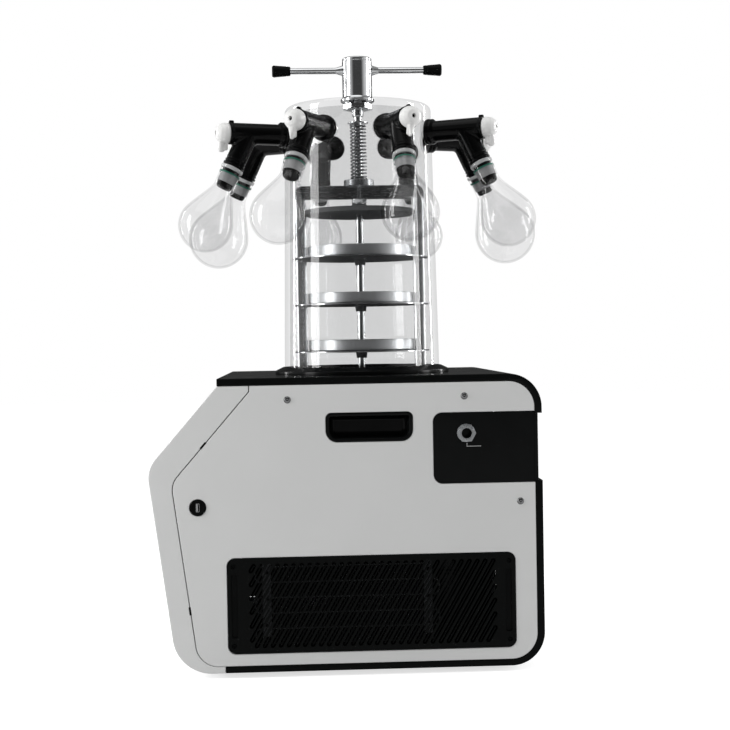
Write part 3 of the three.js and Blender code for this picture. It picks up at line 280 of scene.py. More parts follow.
class Shape:
    """Vertices and faces in millimetres, gathered from several solids."""

    def __init__(self):
        self.points = []
        self.faces = []

    def put(self, points, faces, matrix=None):
        first = len(self.points)
        if matrix is not None:
            points = [tuple(matrix @ Vector(p)) for p in points]
        self.points += points
        self.faces += [[first + i for i in face] for face in faces]
        return self

    def add(self, other, matrix=None):
        return self.put(other.points, other.faces, matrix)

    def mesh(self, name, matrix=TO_AXIS):
        mesh = bpy.data.meshes.new(name)
        mesh.from_pydata([tuple((matrix @ Vector(p)) * MM) for p in self.points], [], self.faces)
        edit = bmesh.new()
        edit.from_mesh(mesh)
        bmesh.ops.remove_doubles(edit, verts=edit.verts, dist=1e-7)
        bmesh.ops.recalc_face_normals(edit, faces=edit.faces)
        edit.to_mesh(mesh)
        edit.free()
        return mesh


def arc_points(corners, step=6.0, bevel_steps=None):
    """Corners (u, v, radius) as points, each corner that has a radius replaced by an arc."""
    points = []
    for i, (*place, radius) in enumerate((*c, 0) if len(c) < 3 else c for c in corners):
        here = Vector(place)
        if radius <= 0:
            points.append(tuple(place))
            continue
        before = (Vector(corners[i - 1][:2]) - here).normalized()
        after = (Vector(corners[(i + 1) % len(corners)][:2]) - here).normalized()
        half = math.acos(max(-1, min(1, before.dot(after)))) / 2
        start = here + before * (radius / math.tan(half))
        centre = here + (before + after).normalized() * (radius / math.sin(half))
        cross = after.x * before.y - after.y * before.x
        sweep = math.copysign(math.pi - 2 * half, cross)
        steps = bevel_steps or max(2, math.ceil(abs(math.degrees(sweep)) / step))
        arm = start - centre
        for c, s in (polar(1, sweep * k / steps) for k in range(steps + 1)):
            points.append((centre.x + arm.x * c - arm.y * s, centre.y + arm.x * s + arm.y * c))
    return points


def rectangle(u0, u1, v0, v1, radius=0.0):
    return arc_points([(u0, v0, radius), (u1, v0, radius), (u1, v1, radius), (u0, v1, radius)])


def about(u, v, half_u, half_v, radius=0.0):
    """A rectangle round its middle."""
    return rectangle(u - half_u, u + half_u, v - half_v, v + half_v, radius)


def circle(u, v, radius, sides=48, turn=0.0):
    return [(u + a, v + b) for a, b in (polar(radius, turn + FULL_TURN * i / sides) for i in range(sides))]


def stadium(a, b, radius, steps=6):
    """The outline of a slot with round ends, from one end point to the other."""
    a, b = Vector(a), Vector(b)
    along = (b - a).normalized()
    side = Vector((-along.y, along.x))
    points = []
    for centre, sign in ((b - along * radius, 1), (a + along * radius, -1)):
        for k in range(steps + 1):
            t = math.pi * k / steps
            points.append(tuple(centre + (along * math.sin(t) - side * math.cos(t)) * (radius * sign)))
    return points


def area(outline):
    return sum(a[0] * b[1] - b[0] * a[1] for a, b in zip([outline[-1]] + outline, outline)) / 2


def inset(outline, distance):
    """The outline moved to its left by some distance, point for point."""
    moved = []
    count = len(outline)
    for i in range(count):
        a, b, c = (Vector(outline[k % count]) for k in (i - 1, i, i + 1))
        e, f = (b - a).normalized(), (c - b).normalized()
        n, m = Vector((-e.y, e.x)), Vector((-f.y, f.x))
        moved.append(tuple(b + (n + m) * (distance / max(0.3, 1 + n.dot(m)))))
    return moved


AXES = {"x": lambda u, v, w: (w, u, v), "y": lambda u, v, w: (u, w, v), "z": lambda u, v, w: (u, v, w)}


def prism(outline, low, high, axis="z", bevel=0.6, holes=(), steps=3):
    """A plate between two depths, its rims rounded by bevel. Outlines are in the other two axes."""
    to = AXES[axis]
    rims = [outline if area(outline) > 0 else outline[::-1]]
    rims += [h if area(h) < 0 else h[::-1] for h in holes]
    bevel = min(bevel, (high - low) / 2.001)
    shape = Shape()
    caps = []
    for rim in rims:
        rings = [(0, low), (0, high)]
        if bevel > 0:
            shares = [k / steps for k in range(steps + 1)]
            rings = []
            for share, end, sign in [(k, low, 1) for k in shares] + [(1 - k, high, -1) for k in shares]:
                a = math.pi / 2 * share
                rings.append((bevel * (1 - math.sin(a)), end + sign * bevel * (1 - math.cos(a))))
        first = len(shape.points)
        outlines = [(inset(rim, d) if d > 1e-9 else rim, w) for d, w in rings]
        shape.add(loft([[to(u, v, w) for u, v in outline] for outline, w in outlines], close_ends=False))
        caps.append((first, first + (len(rings) - 1) * len(rim), inset(rim, bevel) if bevel > 0 else rim))
    flat = [[Vector((u, v, 0)) for u, v in rim] for *_, rim in caps]
    lows = [low_start + i for low_start, _, rim in caps for i in range(len(rim))]
    highs = [high_start + i for _, high_start, rim in caps for i in range(len(rim))]
    for triangle in tessellate_polygon(flat):
        shape.faces.append([lows[i] for i in triangle])
        shape.faces.append([highs[i] for i in reversed(triangle)])
    return shape


def raised(height, profile):
    """A profile's points (radius, height[, corner radius]), lifted."""
    return [(r, height + h, *corner) for r, h, *corner in profile]


def lathe(profile, segments=96, matrix=None):
    """A profile of (radius, height[, corner radius]) turned about Z. It starts and ends on the axis,
    or closes on itself."""
    if any(len(p) > 2 for p in profile):
        profile = arc_points(profile, bevel_steps=4)
    profile = [
        p for i, p in enumerate(profile) if i == 0 or (Vector(p) - Vector(profile[i - 1])).length > 1e-6
    ]
    on_axis = abs(profile[0][0]) < 1e-6
    points, rings = [], []
    for r, h in profile:
        if abs(r) < 1e-6:
            rings.append([len(points)] * segments)
            points.append((0, 0, h))
        else:
            rings.append(list(range(len(points), len(points) + segments)))
            points += [(*polar(r, FULL_TURN * i / segments), h) for i in range(segments)]
    faces = []
    for a, b in list(zip(rings, rings[1:])) + ([] if on_axis else [(rings[-1], rings[0])]):
        for i in range(segments):
            j = (i + 1) % segments
            face = list(dict.fromkeys((a[i], a[j], b[j], b[i])))
            if len(face) > 2:
                faces.append(face)
    return Shape().put(points, faces, matrix)


def loft(rings, close_ends=True, closed=False):
    """Rings of as many points each, skinned one to the next."""
    count = len(rings[0])
    faces = []
    for k in range(len(rings) if closed else len(rings) - 1):
        this, following = k * count, (k + 1) % len(rings) * count
        for i in range(count):
            j = (i + 1) % count
            faces.append((this + i, this + j, following + j, following + i))
    if close_ends and not closed:
        faces.append(list(range(count)))
        faces.append(list(range((len(rings) - 1) * count, len(rings) * count))[::-1])
    return Shape().put([p for ring in rings for p in ring], faces)


def tube(path, radius, sides=16):
    """A round wire along a path of points, with its ends closed."""
    path = [Vector(p) for p in path]
    tangents = [(after - before).normalized() for before, after in zip(path[:1] + path, path[1:] + path[-1:])]
    normal = tangents[0].orthogonal().normalized()
    rings = []
    for here, tangent in zip(path, tangents):
        normal = (normal - tangent * normal.dot(tangent)).normalized()
        side = tangent.cross(normal)
        turns = (polar(1, FULL_TURN * k / sides) for k in range(sides))
        rings.append([tuple(here + (normal * c + side * s) * radius) for c, s in turns])
    return loft(rings)


def bezier(p0, p1, p2, p3, count):
    p0, p1, p2, p3 = (Vector(p) for p in (p0, p1, p2, p3))
    steps = (i / count for i in range(count + 1))
    return [
        tuple(p0 * (1 - t) ** 3 + p1 * (3 * t * (1 - t) ** 2) + p2 * (3 * t * t * (1 - t)) + p3 * t**3)
        for t in steps
    ]


def along_x(u, v, from_x, flip=False):
    """Turns a lathe's Z into +X, or -X, about a line at (y, z)."""
    return shift(from_x, u, v) @ turned(-90 if flip else 90, "Y")


# ------------------------------------------------------------------ pieces


def piece(name, shape, material, body="casing", slot=None, replaces=(), sharp=38, matrix=TO_AXIS):
    """One object of the visual model, from a shape or a finished mesh."""
    data = shape.mesh(name, matrix) if isinstance(shape, Shape) else shape
    made = add_object(name, data)
    data.materials.append(MATERIALS[material])
    data.shade_smooth()
    data.set_sharp_from_angle(angle=math.radians(sharp))
    weighted = made.modifiers.new("even_normals", "WEIGHTED_NORMAL")
    weighted.keep_sharp = True
    weighted.weight = 80
    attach(made, body)
    if replaces:
        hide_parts(*replaces)
    return made


def instead(node, suffix, shape, material, **more):
    """A piece that takes the place of a CAD node, and is named after it."""
    return piece(f"{node}_{suffix}", shape, material, replaces=[node], **more)


def less(whole, tool, matrix=TO_AXIS):
    """The mesh of an object less a shape, by an exact boolean. The object goes."""
    name = whole.name
    cutter = add_object(name + "_cutter", tool.mesh(name + "_cutter", matrix))
    cut = whole.modifiers.new("cut", "BOOLEAN")
    cut.operation = "DIFFERENCE"
    cut.object = cutter
    cut.solver = "EXACT"
    graph = bpy.context.evaluated_depsgraph_get()
    mesh = bpy.data.meshes.new_from_object(whole.evaluated_get(graph))
    for done in (whole, cutter):
        data = done.data
        bpy.data.objects.remove(done)
        bpy.data.meshes.remove(data)
    mesh.name = name
    return mesh


def cut_by(shape, tool, name):
    return less(add_object(name, shape.mesh(name)), tool)


# ------------------------------------------------------------------ casing

COVER_UNDER = DECK - BAND
TRAY_TOP = FOOT + TRAY_EDGE
TRAY_FRONT = COVER_FRONT + 6
PANEL_TOP = COVER_UNDER - FIT
PANEL_REAR = COVER_REAR - BAND - FIT
BROW = Vector((COVER_FRONT, PANEL_TOP))
NOSE = Vector((NOSE_Y, NOSE_Z))
TOE = Vector((TOE_Y, FOOT))
UPPER_WING, LOWER_WING = 42, 33
SEAM_RADIUS, SEAM_TOE_RADIUS = 30, 34
SEAM_GAP = 1.2
SEAM_TOP_SETBACK = 48
WINDOW_LOW, WINDOW_HIGH = 285, 385.5
# Degrees between the points of a casing part's corners, and the radius of its side edges.
CORNER_STEP = 4
EDGE = 1.2


def beside(a, b, distance):
    direction = (b - a).normalized()
    return a + Vector((-direction.y, direction.x)) * distance, direction


def meet(p, q):
    """Where two lines cross, each given by a point and a direction."""
    (a, d), (b, e) = p, q
    gap = b - a
    along = (gap.x * e.y - gap.y * e.x) / (d.x * e.y - d.y * e.x)
    return a + d * along


def level(height):
    return Vector((0, height)), Vector((1, 0))


def seam(gap):
    """The line where the front shell meets a side panel, drawn forward by a gap."""
    upper = beside(BROW, NOSE, UPPER_WING - gap)
    lower = beside(NOSE, TOE, LOWER_WING - gap)
    top = Vector((COVER_FRONT + SEAM_TOP_SETBACK - gap, 0)), Vector((0, 1))
    bottom = level(TRAY_TOP + FIT - gap)
    return [
        (*meet(top, level(PANEL_TOP)), 0), (*meet(top, upper), 0), (*meet(upper, lower), SEAM_RADIUS + gap),
        (*meet(lower, bottom), SEAM_TOE_RADIUS + gap)
    ]


def full_width(corners):
    return prism(arc_points(corners, CORNER_STEP), -HALF_WIDTH, HALF_WIDTH, "x", EDGE)


shell_rear = TRAY_FRONT - FIT
shell_outside = [
    (*BROW, 1.5), (*NOSE, 45), (*TOE, 58), (shell_rear, FOOT, 0), (shell_rear, TRAY_TOP + FIT - GAP, 0)
]
front_shell = full_width(shell_outside + seam(SEAM_GAP)[::-1])

SCREEN_X, SCREEN_SLOPE = 196, 112
SLOPE = BROW - NOSE
SCREEN_MIDDLE = NOSE + SLOPE * 0.52
TO_SCREEN = shift(0, *SCREEN_MIDDLE) @ Matrix.Rotation(math.atan2(SLOPE.y, SLOPE.x), 4, "X")


def screen_block(grow, low, high, bevel=0.0, radius=0.0, holes=()):
    flat = prism(
        about(0, 0, SCREEN_X / 2 + grow, SCREEN_SLOPE / 2 + grow, radius), low, high, "z", bevel, holes
    )
    return Shape().add(flat, TO_SCREEN)


instead("front_shell", "skin", cut_by(front_shell, screen_block(GAP, -7.5, 5), "front_shell"), "white_paint")
piece("touch_screen_bezel", screen_block(0, -7, 0.4, 0.35, 2.0, [about(0, 0, 88, 47, 3)]), "black_plastic")
instead("touch_screen", "glass", screen_block(-8, -6, 0.1, 0.1, 4.0), "screen_glass")

RECESS_HALF, RECESS_LOW, RECESS_HIGH = 64.5, PANEL_TOP + FIT - 86, PANEL_TOP + FIT - 43
GRILLE_HALF, GRILLE_LOW, GRILLE_HIGH = 214.5, TRAY_TOP + 18.4, TRAY_TOP + 160.4
PORT_LOW, PORT_HIGH = 283, 388.5
PORT_FRONT, PORT_REAR = COVER_REAR - 163, COVER_REAR - 6
SOCKET_Y, SOCKET_Z = NOSE_Y + 74, 255
PIPE_Y, PIPE_Z = COVER_REAR - 114, 358


def recess_outline(drawn_in):
    low, high = max(2.0, 17 - drawn_in), max(2.0, 8 - drawn_in)
    half, foot, top = RECESS_HALF - drawn_in, RECESS_LOW + drawn_in, RECESS_HIGH - drawn_in
    return arc_points(
        [(-half, foot, low), (half, foot, low), (half, top, high), (-half, top, high)], bevel_steps=10
    )


def grille_outline(grow):
    half = GRILLE_HALF + grow
    return rectangle(-half, half, GRILLE_LOW - grow, GRILLE_HIGH + grow, 12 + grow)


def side_panel(right):
    rear = [(PANEL_REAR, TRAY_TOP + FIT, CORNER - BAND)]
    holes = [recess_outline(-GAP), grille_outline(GAP)]
    if right:
        front, low, high = PORT_FRONT - GAP, PORT_LOW - GAP, PORT_HIGH + GAP
        rear += [(PANEL_REAR, low, 0), (front, low, 14), (front, high, 14), (PANEL_REAR, high, 0)]
        holes.append(circle(SOCKET_Y, SOCKET_Z, 12.5))
    rear.append((PANEL_REAR, PANEL_TOP, CORNER - BAND))
    return prism(arc_points(seam(0) + rear, CORNER_STEP), HALF_WIDTH - 4, HALF_WIDTH, "x", 0.9, holes)


def mirror(shape):
    return Shape().add(shape, Matrix.Scale(-1, 4, (1, 0, 0)))


# A dark strip lies behind the seam of the front shell on both sides: painted shade, so the gap of the seam
# shows dark.
strip_front, strip_rear = (arc_points(seam(gap), CORNER_STEP) for gap in (SEAM_GAP + 2.5, -2.5))
seam_shade_strip = prism(strip_front + strip_rear[::-1], HALF_WIDTH - 5, HALF_WIDTH - 1.6, "x", 0)
piece("seam_shade_strips", seam_shade_strip.add(mirror(seam_shade_strip)), "rubber")

# The slots of two clips show on each side's seam, as dark patches on the panel: painted shade in the slots.
clip_slot_shade = Shape()
for start, end, wing, height in ((BROW, NOSE, UPPER_WING, DECK - 99), (NOSE, TOE, LOWER_WING, DECK - 343)):
    line, along = beside(start, end, wing)
    spot = meet((line, along), level(height))
    across = Vector((-along.y, along.x))
    corners = [tuple(spot + along * u + across * v) for u, v in ((-6, -2.6), (6, -2.6), (6, 0.4), (-6, 0.4))]
    clip_slot_shade.add(prism(corners, HALF_WIDTH - 3, HALF_WIDTH + 0.12, "x", 0))
piece("seam_clip_slot_shade", clip_slot_shade.add(mirror(clip_slot_shade)), "rubber")
instead("side_panel_right", "skin", side_panel(True), "white_paint")
instead("side_panel_left", "skin", mirror(side_panel(False)), "white_paint")

cover = full_width([
    (COVER_FRONT, COVER_UNDER, 1.2), (COVER_REAR - BAND, COVER_UNDER, CORNER - BAND),
    (COVER_REAR - BAND, WINDOW_HIGH, 0), (COVER_REAR, WINDOW_HIGH, 0), (COVER_REAR, DECK, CORNER),
    (COVER_FRONT, DECK, 1.2)
])
trap_mouth = lathe([(0, COVER_UNDER - 5), (101, COVER_UNDER - 5), (101, DECK + 5), (0, DECK + 5)], 160)
instead("top_cover", "skin", cut_by(cover, trap_mouth, "top_cover"), "black_gloss")

tray = full_width([
    (TRAY_FRONT, FOOT, 1), (COVER_REAR, FOOT, CORNER), (COVER_REAR, WINDOW_LOW, 0),
    (COVER_REAR - BAND, WINDOW_LOW, 0), (COVER_REAR - BAND, TRAY_TOP, CORNER - BAND),
    (TRAY_FRONT, TRAY_TOP, 1)
])
instead("base_tray", "skin", tray, "black_plastic")

FOOT_PROFILE = [(0, 1.2), (9, 1.2, 0.4), (10.5, 0, 0.6), (15.5, 0, 1.5), (18, 5, 2), (18, FOOT, 0), (0, FOOT)]
feet = Shape()
for foot_x in (-180, 180):
    for foot_y in (TRAY_FRONT + CORNER, COVER_REAR - CORNER - 18):
        feet.add(lathe(FOOT_PROFILE, 64, shift(foot_x, foot_y, 0)))
piece("rubber_feet", feet, "rubber")

# The port panel: its side face, and the part that goes round the rear corner.
OUTER = HALF_WIDTH - FIT
port_corners = [
    (PORT_FRONT, PORT_LOW, 13.5), (PANEL_REAR, PORT_LOW, 0), (PANEL_REAR, PORT_HIGH, 0),
    (PORT_FRONT, PORT_HIGH, 13.5)
]
port_shape = prism(arc_points(port_corners), OUTER - 3, OUTER, "x", 0.7, [circle(PIPE_Y, PIPE_Z, 11)])
corner_outline = arc_points([
    (-OUTER, PORT_REAR - 3, 0), (OUTER - 3, PORT_REAR - 3, 0.5), (OUTER - 3, PANEL_REAR - 1, 0),
    (OUTER, PANEL_REAR - 1, 0), (OUTER, PORT_REAR, 2.5), (-OUTER, PORT_REAR, 2.5)
])
INLET_X, INLET_Z = -150, WINDOW_LOW + 50.25
port_shape.add(prism(corner_outline, WINDOW_LOW + FIT, WINDOW_HIGH - FIT, "z", 0.0))
inlet_cut = prism(about(INLET_X, INLET_Z, 19.3, 9.3, 4), 240, 260, "y", 0)
instead("port_panel", "skin", cut_by(port_shape, inlet_cut, "port_panel"), "black_gloss")

# The hand recess: how far its outline is drawn in, at each depth from the panel's face.
RECESS_STATIONS = (
    (3, -34), (3, -4), (0, -4), (0, 0), (0.2, 0.45), (0.8, 0.6), (4.0, 0.6), (4.6, 0.3), (5.0, -0.4),
    (6.8, -22), (8.2, -27), (10.5, -30), (13, -31)
)
hand_recess = loft([[(HALF_WIDTH + x, u, v) for u, v in recess_outline(d)] for d, x in RECESS_STATIONS])
instead("hand_recess_right", "cup", hand_recess, "black_gloss")
instead("hand_recess_left", "cup", mirror(hand_recess), "black_gloss")

# The grille: long slanted slots over the whole field, each with a narrow slat down its middle.
FIELD_Y0, FIELD_Y1, FIELD_Z0, FIELD_Z1 = -181.0, 185.0, GRILLE_LOW + 8.5, GRILLE_HIGH - 9.0
SLOT_PITCH, SLOT_WIDTH, SLAT_WIDTH = 11.9, 6.6, 1.9
SLOT_SLANT = math.radians(60)
POCKET_Y, POCKET_HALF = 204.2, 4.6


def slot_lines():
    """The middle line of each slot, clipped to the field."""
    lean = 1 / math.tan(SLOT_SLANT)
    lines = []
    start = FIELD_Y0 - (FIELD_Z1 - FIELD_Z0) * lean
    count = int((FIELD_Y1 - start) / SLOT_PITCH) + 1
    for k in range(count):
        y0 = start + SLOT_PITCH * (k + 0.62)
        z0, z1 = FIELD_Z0, FIELD_Z1
        if y0 < FIELD_Y0:
            z0 = FIELD_Z0 + (FIELD_Y0 - y0) / lean
        if y0 + (FIELD_Z1 - FIELD_Z0) * lean > FIELD_Y1:
            z1 = FIELD_Z0 + (FIELD_Y1 - y0) / lean
        if z1 - z0 > 9:
            lines.append(((y0 + (z0 - FIELD_Z0) * lean, z0), (y0 + (z1 - FIELD_Z0) * lean, z1)))
    return lines


def grille():
    outer = HALF_WIDTH + GRILLE_PROUD
    lines = slot_lines()
    holes = [stadium(a, b, SLOT_WIDTH / 2) for a, b in lines]
    screws = [(s * 205.5, z) for s in (-1, 1) for z in (GRILLE_LOW + 12.0, GRILLE_HIGH - 12.0)]
    holes += [circle(y, z, 3.4, 24) for y, z in screws]
    for y in (-POCKET_Y, POCKET_Y):
        holes.append(rectangle(y - POCKET_HALF, y + POCKET_HALF, GRILLE_LOW + 24, GRILLE_HIGH - 24, 2.6))
    shape = prism(grille_outline(0), outer - 3.2, outer, "x", 0.55, holes, 2)
    frame_hole = rectangle(FIELD_Y0 - 6, FIELD_Y1 + 6, FIELD_Z0 - 5, FIELD_Z1 + 5, 6)
    shape.add(prism(grille_outline(-0.6), outer - GRILLE_DEPTH, outer - 3.1, "x", 0.2, [frame_hole], 1))
    for a, b in ((Vector(a), Vector(b)) for a, b in lines):
        along = (b - a).normalized() * 2.2
        slat = stadium(a + along, b - along, SLAT_WIDTH / 2, 3)
        shape.add(prism(slat, outer - 4.4, outer - 0.7, "x", 0.45, (), 2))
    head = lathe([(0, 0), (2.9, 0, 0.5), (2.9, 1.4, 0.6), (1.5, 1.5), (1.4, 0.6), (0, 0.6)], 24)
    for y, z in screws:
        shape.add(head, along_x(y, z, outer - 3.2))
    return shape


slotted = grille()
instead("grille_right", "slotted", slotted, "black_plastic")
instead("grille_left", "slotted", mirror(slotted), "black_plastic")
# A pad of filter felt lies behind the left grille, on the side where the air leaves.
PAD_INSET = 8
pad = rectangle(
    low_of("grille_left", Y) - AXIS_Y + PAD_INSET, high_of("grille_left", Y) - AXIS_Y - PAD_INSET,
    low_of("grille_left", Z) + PAD_INSET, high_of("grille_left", Z) - PAD_INSET, 6
)
piece("grille_left_filter", prism(pad, -HALF_WIDTH + 9, -HALF_WIDTH + 15, "x", 1.5), "black_plastic")

# Button-head screws that hold the side panels.
PANEL_SCREWS = ((-121, 412), (142, 413), (224, 254.6))
screw_head = lathe([
    (0, -2), (4.2, -2), (4.75, -1.4), (4.8, -0.2), (4.5, 0.75), (3.7, 1.5), (2.7, 1.95), (1.75, 2.1),
    (1.6, 2.0), (1.45, 0.6), (0, 0.35)
], 40)
screw_washer = lathe([(0, -1), (5.3, -1), (5.3, 0.2, 0.3), (0, 0.2)], 40)
for side, face in (("right", HALF_WIDTH), ("left", -HALF_WIDTH)):
    screws = Shape()
    for y, z in PANEL_SCREWS:
        for part in (screw_head, screw_washer):
            screws.add(part, along_x(y, z, face, side == "left"))
    piece(f"panel_screws_{side}", screws, "screw_steel", slot="polished_steel")

# Vacuum port: hex nut with turned faces, and the pipe through it.
nut = circle(PIPE_Y, PIPE_Z, 14.4, 6)
port = prism(nut, HALF_WIDTH + 1.2, HALF_WIDTH + 8.2, "x", 0.9, [circle(PIPE_Y, PIPE_Z, 10)])
flange = [(9.6, 0), (13.6, 0, 0.4), (13.6, 1.6, 0.5), (9.6, 1.6)]
port.add(lathe(flange, 64, along_x(PIPE_Y, PIPE_Z, HALF_WIDTH - FIT)))
pipe_end = [(7.6, -12), (10, -12), (10, 7.4), (11.3, 7.4, 0.4), (11.3, 9.0, 0.5), (7.9, 9.0, 0.4), (7.6, 8.4)]
port.add(lathe(pipe_end, 64, along_x(PIPE_Y, PIPE_Z, HALF_WIDTH)))
pipe_bend = ((HALF_WIDTH - 10, 0), (180, 0), (115, -12))
pipe_path = bezier(*((x, PIPE_Y + y, PIPE_Z) for x, y in pipe_bend), (71.2, 71.2, PIPE_Z), 24)
instead("vacuum_port", "turned", port.add(tube(pipe_path, 10, 24)), "brushed_steel")
# A dark liner inside the port's bore: painted shade, for the shade deep in the pipe.
bore_shade_liner = lathe([(0, -9.6), (7.5, -9.6), (7.5, 6.5, 0.2), (6.9, 6.5, 0.2), (6.9, -9), (0, -9)], 48)
piece("vacuum_port_bore_shade_liner", bore_shade_liner, "rubber", matrix=TO_AXIS @ along_x(PIPE_Y, PIPE_Z, HALF_WIDTH))

# Data socket: barrel with a chamfered rim, a tongue in its slot, and the ring round it.
barrel = [(0, -20), (11.4, -20), (12, -19), (12, 0.9), (11.5, 1.5, 0.3), (8.6, 1.5), (8.0, 0.6), (0, 0.6)]
socket = lathe(barrel, 64, along_x(SOCKET_Y, SOCKET_Z, HALF_WIDTH))
socket_cut = prism(about(SOCKET_Y, SOCKET_Z, 2.6, 6.2, 0.8), 220, 235, "x", 0)
instead("data_socket", "barrel", cut_by(socket, socket_cut, "socket"), "black_plastic")
slot_rim, slot_hole = about(SOCKET_Y, SOCKET_Z, 2.55, 6.15, 0.8), about(SOCKET_Y, SOCKET_Z, 2.1, 5.7, 0.6)
socket_shell = prism(slot_rim, HALF_WIDTH - 9, HALF_WIDTH + 0.5, "x", 0.1, [slot_hole], 1)
tongue = rectangle(SOCKET_Y - 1.6, SOCKET_Y - 0.4, SOCKET_Z - 5, SOCKET_Z + 5)
socket_shell.add(prism(tongue, HALF_WIDTH - 9, HALF_WIDTH - 1, "x", 0.1))
piece("data_socket_shell", socket_shell, "polished_steel")

# Power inlet: flange, pocket and three blade pins.
INLET_FACE = PORT_REAR + FIT
inlet_corners = ((-17, -7), (17, -7), (17, 3), (12, 7), (-12, 7), (-17, 3))
inlet_hole = [arc_points([(INLET_X + x, INLET_Z + z, 1.5) for x, z in inlet_corners])]
inlet = prism(about(INLET_X, INLET_Z, 24, 14, 4), INLET_FACE, INLET_FACE + 2, "y", 0.6, inlet_hole)
sleeve = about(INLET_X, INLET_Z, 19, 9, 3)
inlet.add(prism(sleeve, INLET_FACE - 15, INLET_FACE + 0.5, "y", 0.2, inlet_hole))
inlet.add(prism(sleeve, INLET_FACE - 30, INLET_FACE - 15, "y", 0.4))
instead("power_inlet", "shell", inlet, "black_plastic")
pins = Shape()
for offset in (-1, 0, 1):
    pin = about(INLET_X + 9 * offset, INLET_Z - 1 + (0 if offset else 3), 1, 2.4, 0.3)
    pins.add(prism(pin, INLET_FACE - 16, INLET_FACE - 2, "y", 0.5))
piece("power_inlet_pins", pins, "polished_steel")

# ------------------------------------------------------------------ refrigeration

FLOOR = FOOT + SHEET + FIT
TRAP_TOP = DECK - SHEET - FIT
TRAP_DEPTH = 188
TRAP_FOOT = TRAP_TOP - TRAP_DEPTH
trap = lathe(
    raised(TRAP_FOOT, [(0, 0), (100, 0, 10)])
    + raised(TRAP_TOP, [(100, -2, 0.8), (112, -2, 0.6), (112, 0, 0.6), (98, 0, 0.8)])
    + raised(TRAP_FOOT, [(98, 2, 8), (0, 2)]), 160
)
instead("cold_trap", "spun", trap, "brushed_steel")
jacket = lathe(
    raised(TRAP_FOOT, [(0, -4), (104, -4, 12)]) + raised(TRAP_TOP, [(104, -3, 1), (100.4, -3, 0.5)])
    + raised(TRAP_FOOT, [(100.4, -0.4, 10), (0, -0.4)]), 120
)
piece("cold_trap_jacket", jacket, "black_plastic")

# The evaporator coil that lines the trap.
COIL_TURNS, COIL_STEPS, COIL_RADIUS, COIL_PITCH = 9, 60, 92.5, 17.5
coil_path = [
    (*polar(COIL_RADIUS, FULL_TURN * i / COIL_STEPS), TRAP_FOOT + 16 + i * COIL_PITCH / COIL_STEPS)
    for i in range(COIL_TURNS * COIL_STEPS + 1)
]
piece("trap_coil", tube(coil_path, 4, 14), "polished_steel")

TO_COMPRESSOR = TO_AXIS @ shift(-75, 140, 0)
SHELL_FOOT = FLOOR + 7
shell_profile = [
    (0, 0), (60, 2, 8), (78, 10, 8), (78, 90, 0.5), (81, 92, 0.8), (81, 96, 0.8), (78, 98, 0.5),
    (78, 162, 22), (62, 190, 26), (31, 200, 10), (0, 200)
]
compressor = lathe(raised(SHELL_FOOT, shell_profile), 96)
compressor.add(prism(about(0, 0, 86, 60, 14), SHELL_FOOT - 1, SHELL_FOOT + 4, "z", 0.8))
instead("compressor", "shell", compressor, "compressor_paint", matrix=TO_COMPRESSOR)
grommet = raised(FLOOR, [(0, 0), (10, 0, 1), (10, 2.4, 0.6), (8, 3.4), (10, 4.6, 0.6)])
grommet += raised(SHELL_FOOT, [(10, 0, 1), (0, 0)])
grommets = Shape()
for x, y in ((-74, -48), (-74, 48), (74, -48), (74, 48)):
    grommets.add(lathe(grommet, 32, shift(x, y, 0)))
piece("compressor_grommets", grommets, "rubber", matrix=TO_COMPRESSOR)

FAN_Y = -36
COND_GAP, COND_DEPTH, COND_HALF = 10, 42, 128.5
COND_RIGHT = HALF_WIDTH + GRILLE_PROUD - GRILLE_DEPTH - COND_GAP
COND_LEFT = COND_RIGHT - COND_DEPTH
COND_FRONT, COND_REAR = FAN_Y - COND_HALF, FAN_Y + COND_HALF
COND_FOOT, COND_TOP = FLOOR + 18, FLOOR + 173
PLATE_TOP = COND_TOP + 6
DEPTHS = (COND_RIGHT - 5.5, COND_RIGHT - 21, COND_LEFT + 7)
ROW_PITCH = 23.2
ROWS = [COND_FOOT + 17 + ROW_PITCH * i for i in range(6)]
tubes = Shape()
for depth in DEPTHS:
    for i, z in enumerate(ROWS):
        tubes.add(tube([(depth, COND_FRONT - 3, z), (depth, COND_REAR + 3, z)], 2.6, 14))
        if i + 1 < len(ROWS):
            end, out = (COND_REAR + 2.5, 7.5) if i % 2 else (COND_FRONT - 2.5, -7.5)
            far = end + out * 1.3
            bend = ((end, z), (far, z), (far, z + ROW_PITCH), (end, z + ROW_PITCH))
            tubes.add(tube(bezier(*((depth, *point) for point in bend), 14), 2.6, 12))
instead("condenser", "tubes", tubes, "fin_aluminium")
# The aluminium fins take the black compressor paint: painted shade, for the dark between the condenser's
# tubes.
FIN_COUNT, FIN_HALF = 72, 0.15
fin = rectangle(COND_LEFT + 3, COND_RIGHT - 3.5, COND_FOOT, COND_TOP)
fins = Shape()
for i in range(FIN_COUNT):
    y = COND_FRONT + 6 + (COND_REAR - COND_FRONT - 12) * i / (FIN_COUNT - 1)
    fins.add(prism(fin, y - FIN_HALF, y + FIN_HALF, "y", 0))
piece("condenser_fins", fins, "compressor_paint")
ends = Shape()
sheet = rectangle(COND_LEFT, COND_RIGHT - 0.5, FLOOR, PLATE_TOP, 2)
tube_holes = [circle(depth, z, 2.8, 14) for depth in DEPTHS for z in ROWS]
for y, turn in ((COND_FRONT, 1), (COND_REAR - 3, -1)):
    ends.add(prism(sheet, y + 0.7, y + 2.3, "y", 0.3, tube_holes, 1))
    lip = rectangle(*sorted((y + 1.5, y + 1.5 + turn * 13)), COND_FOOT + 28, COND_TOP - 3, 2)
    lip_holes = [circle(y + 1.5 + turn * 6.5, COND_FOOT + z, 2.2, 16) for z in (45, 85, 125)]
    ends.add(prism(lip, COND_RIGHT - 1.6, COND_RIGHT - 0.1, "x", 0.3, lip_holes, 1))
piece("condenser_ends", ends, "fin_aluminium")

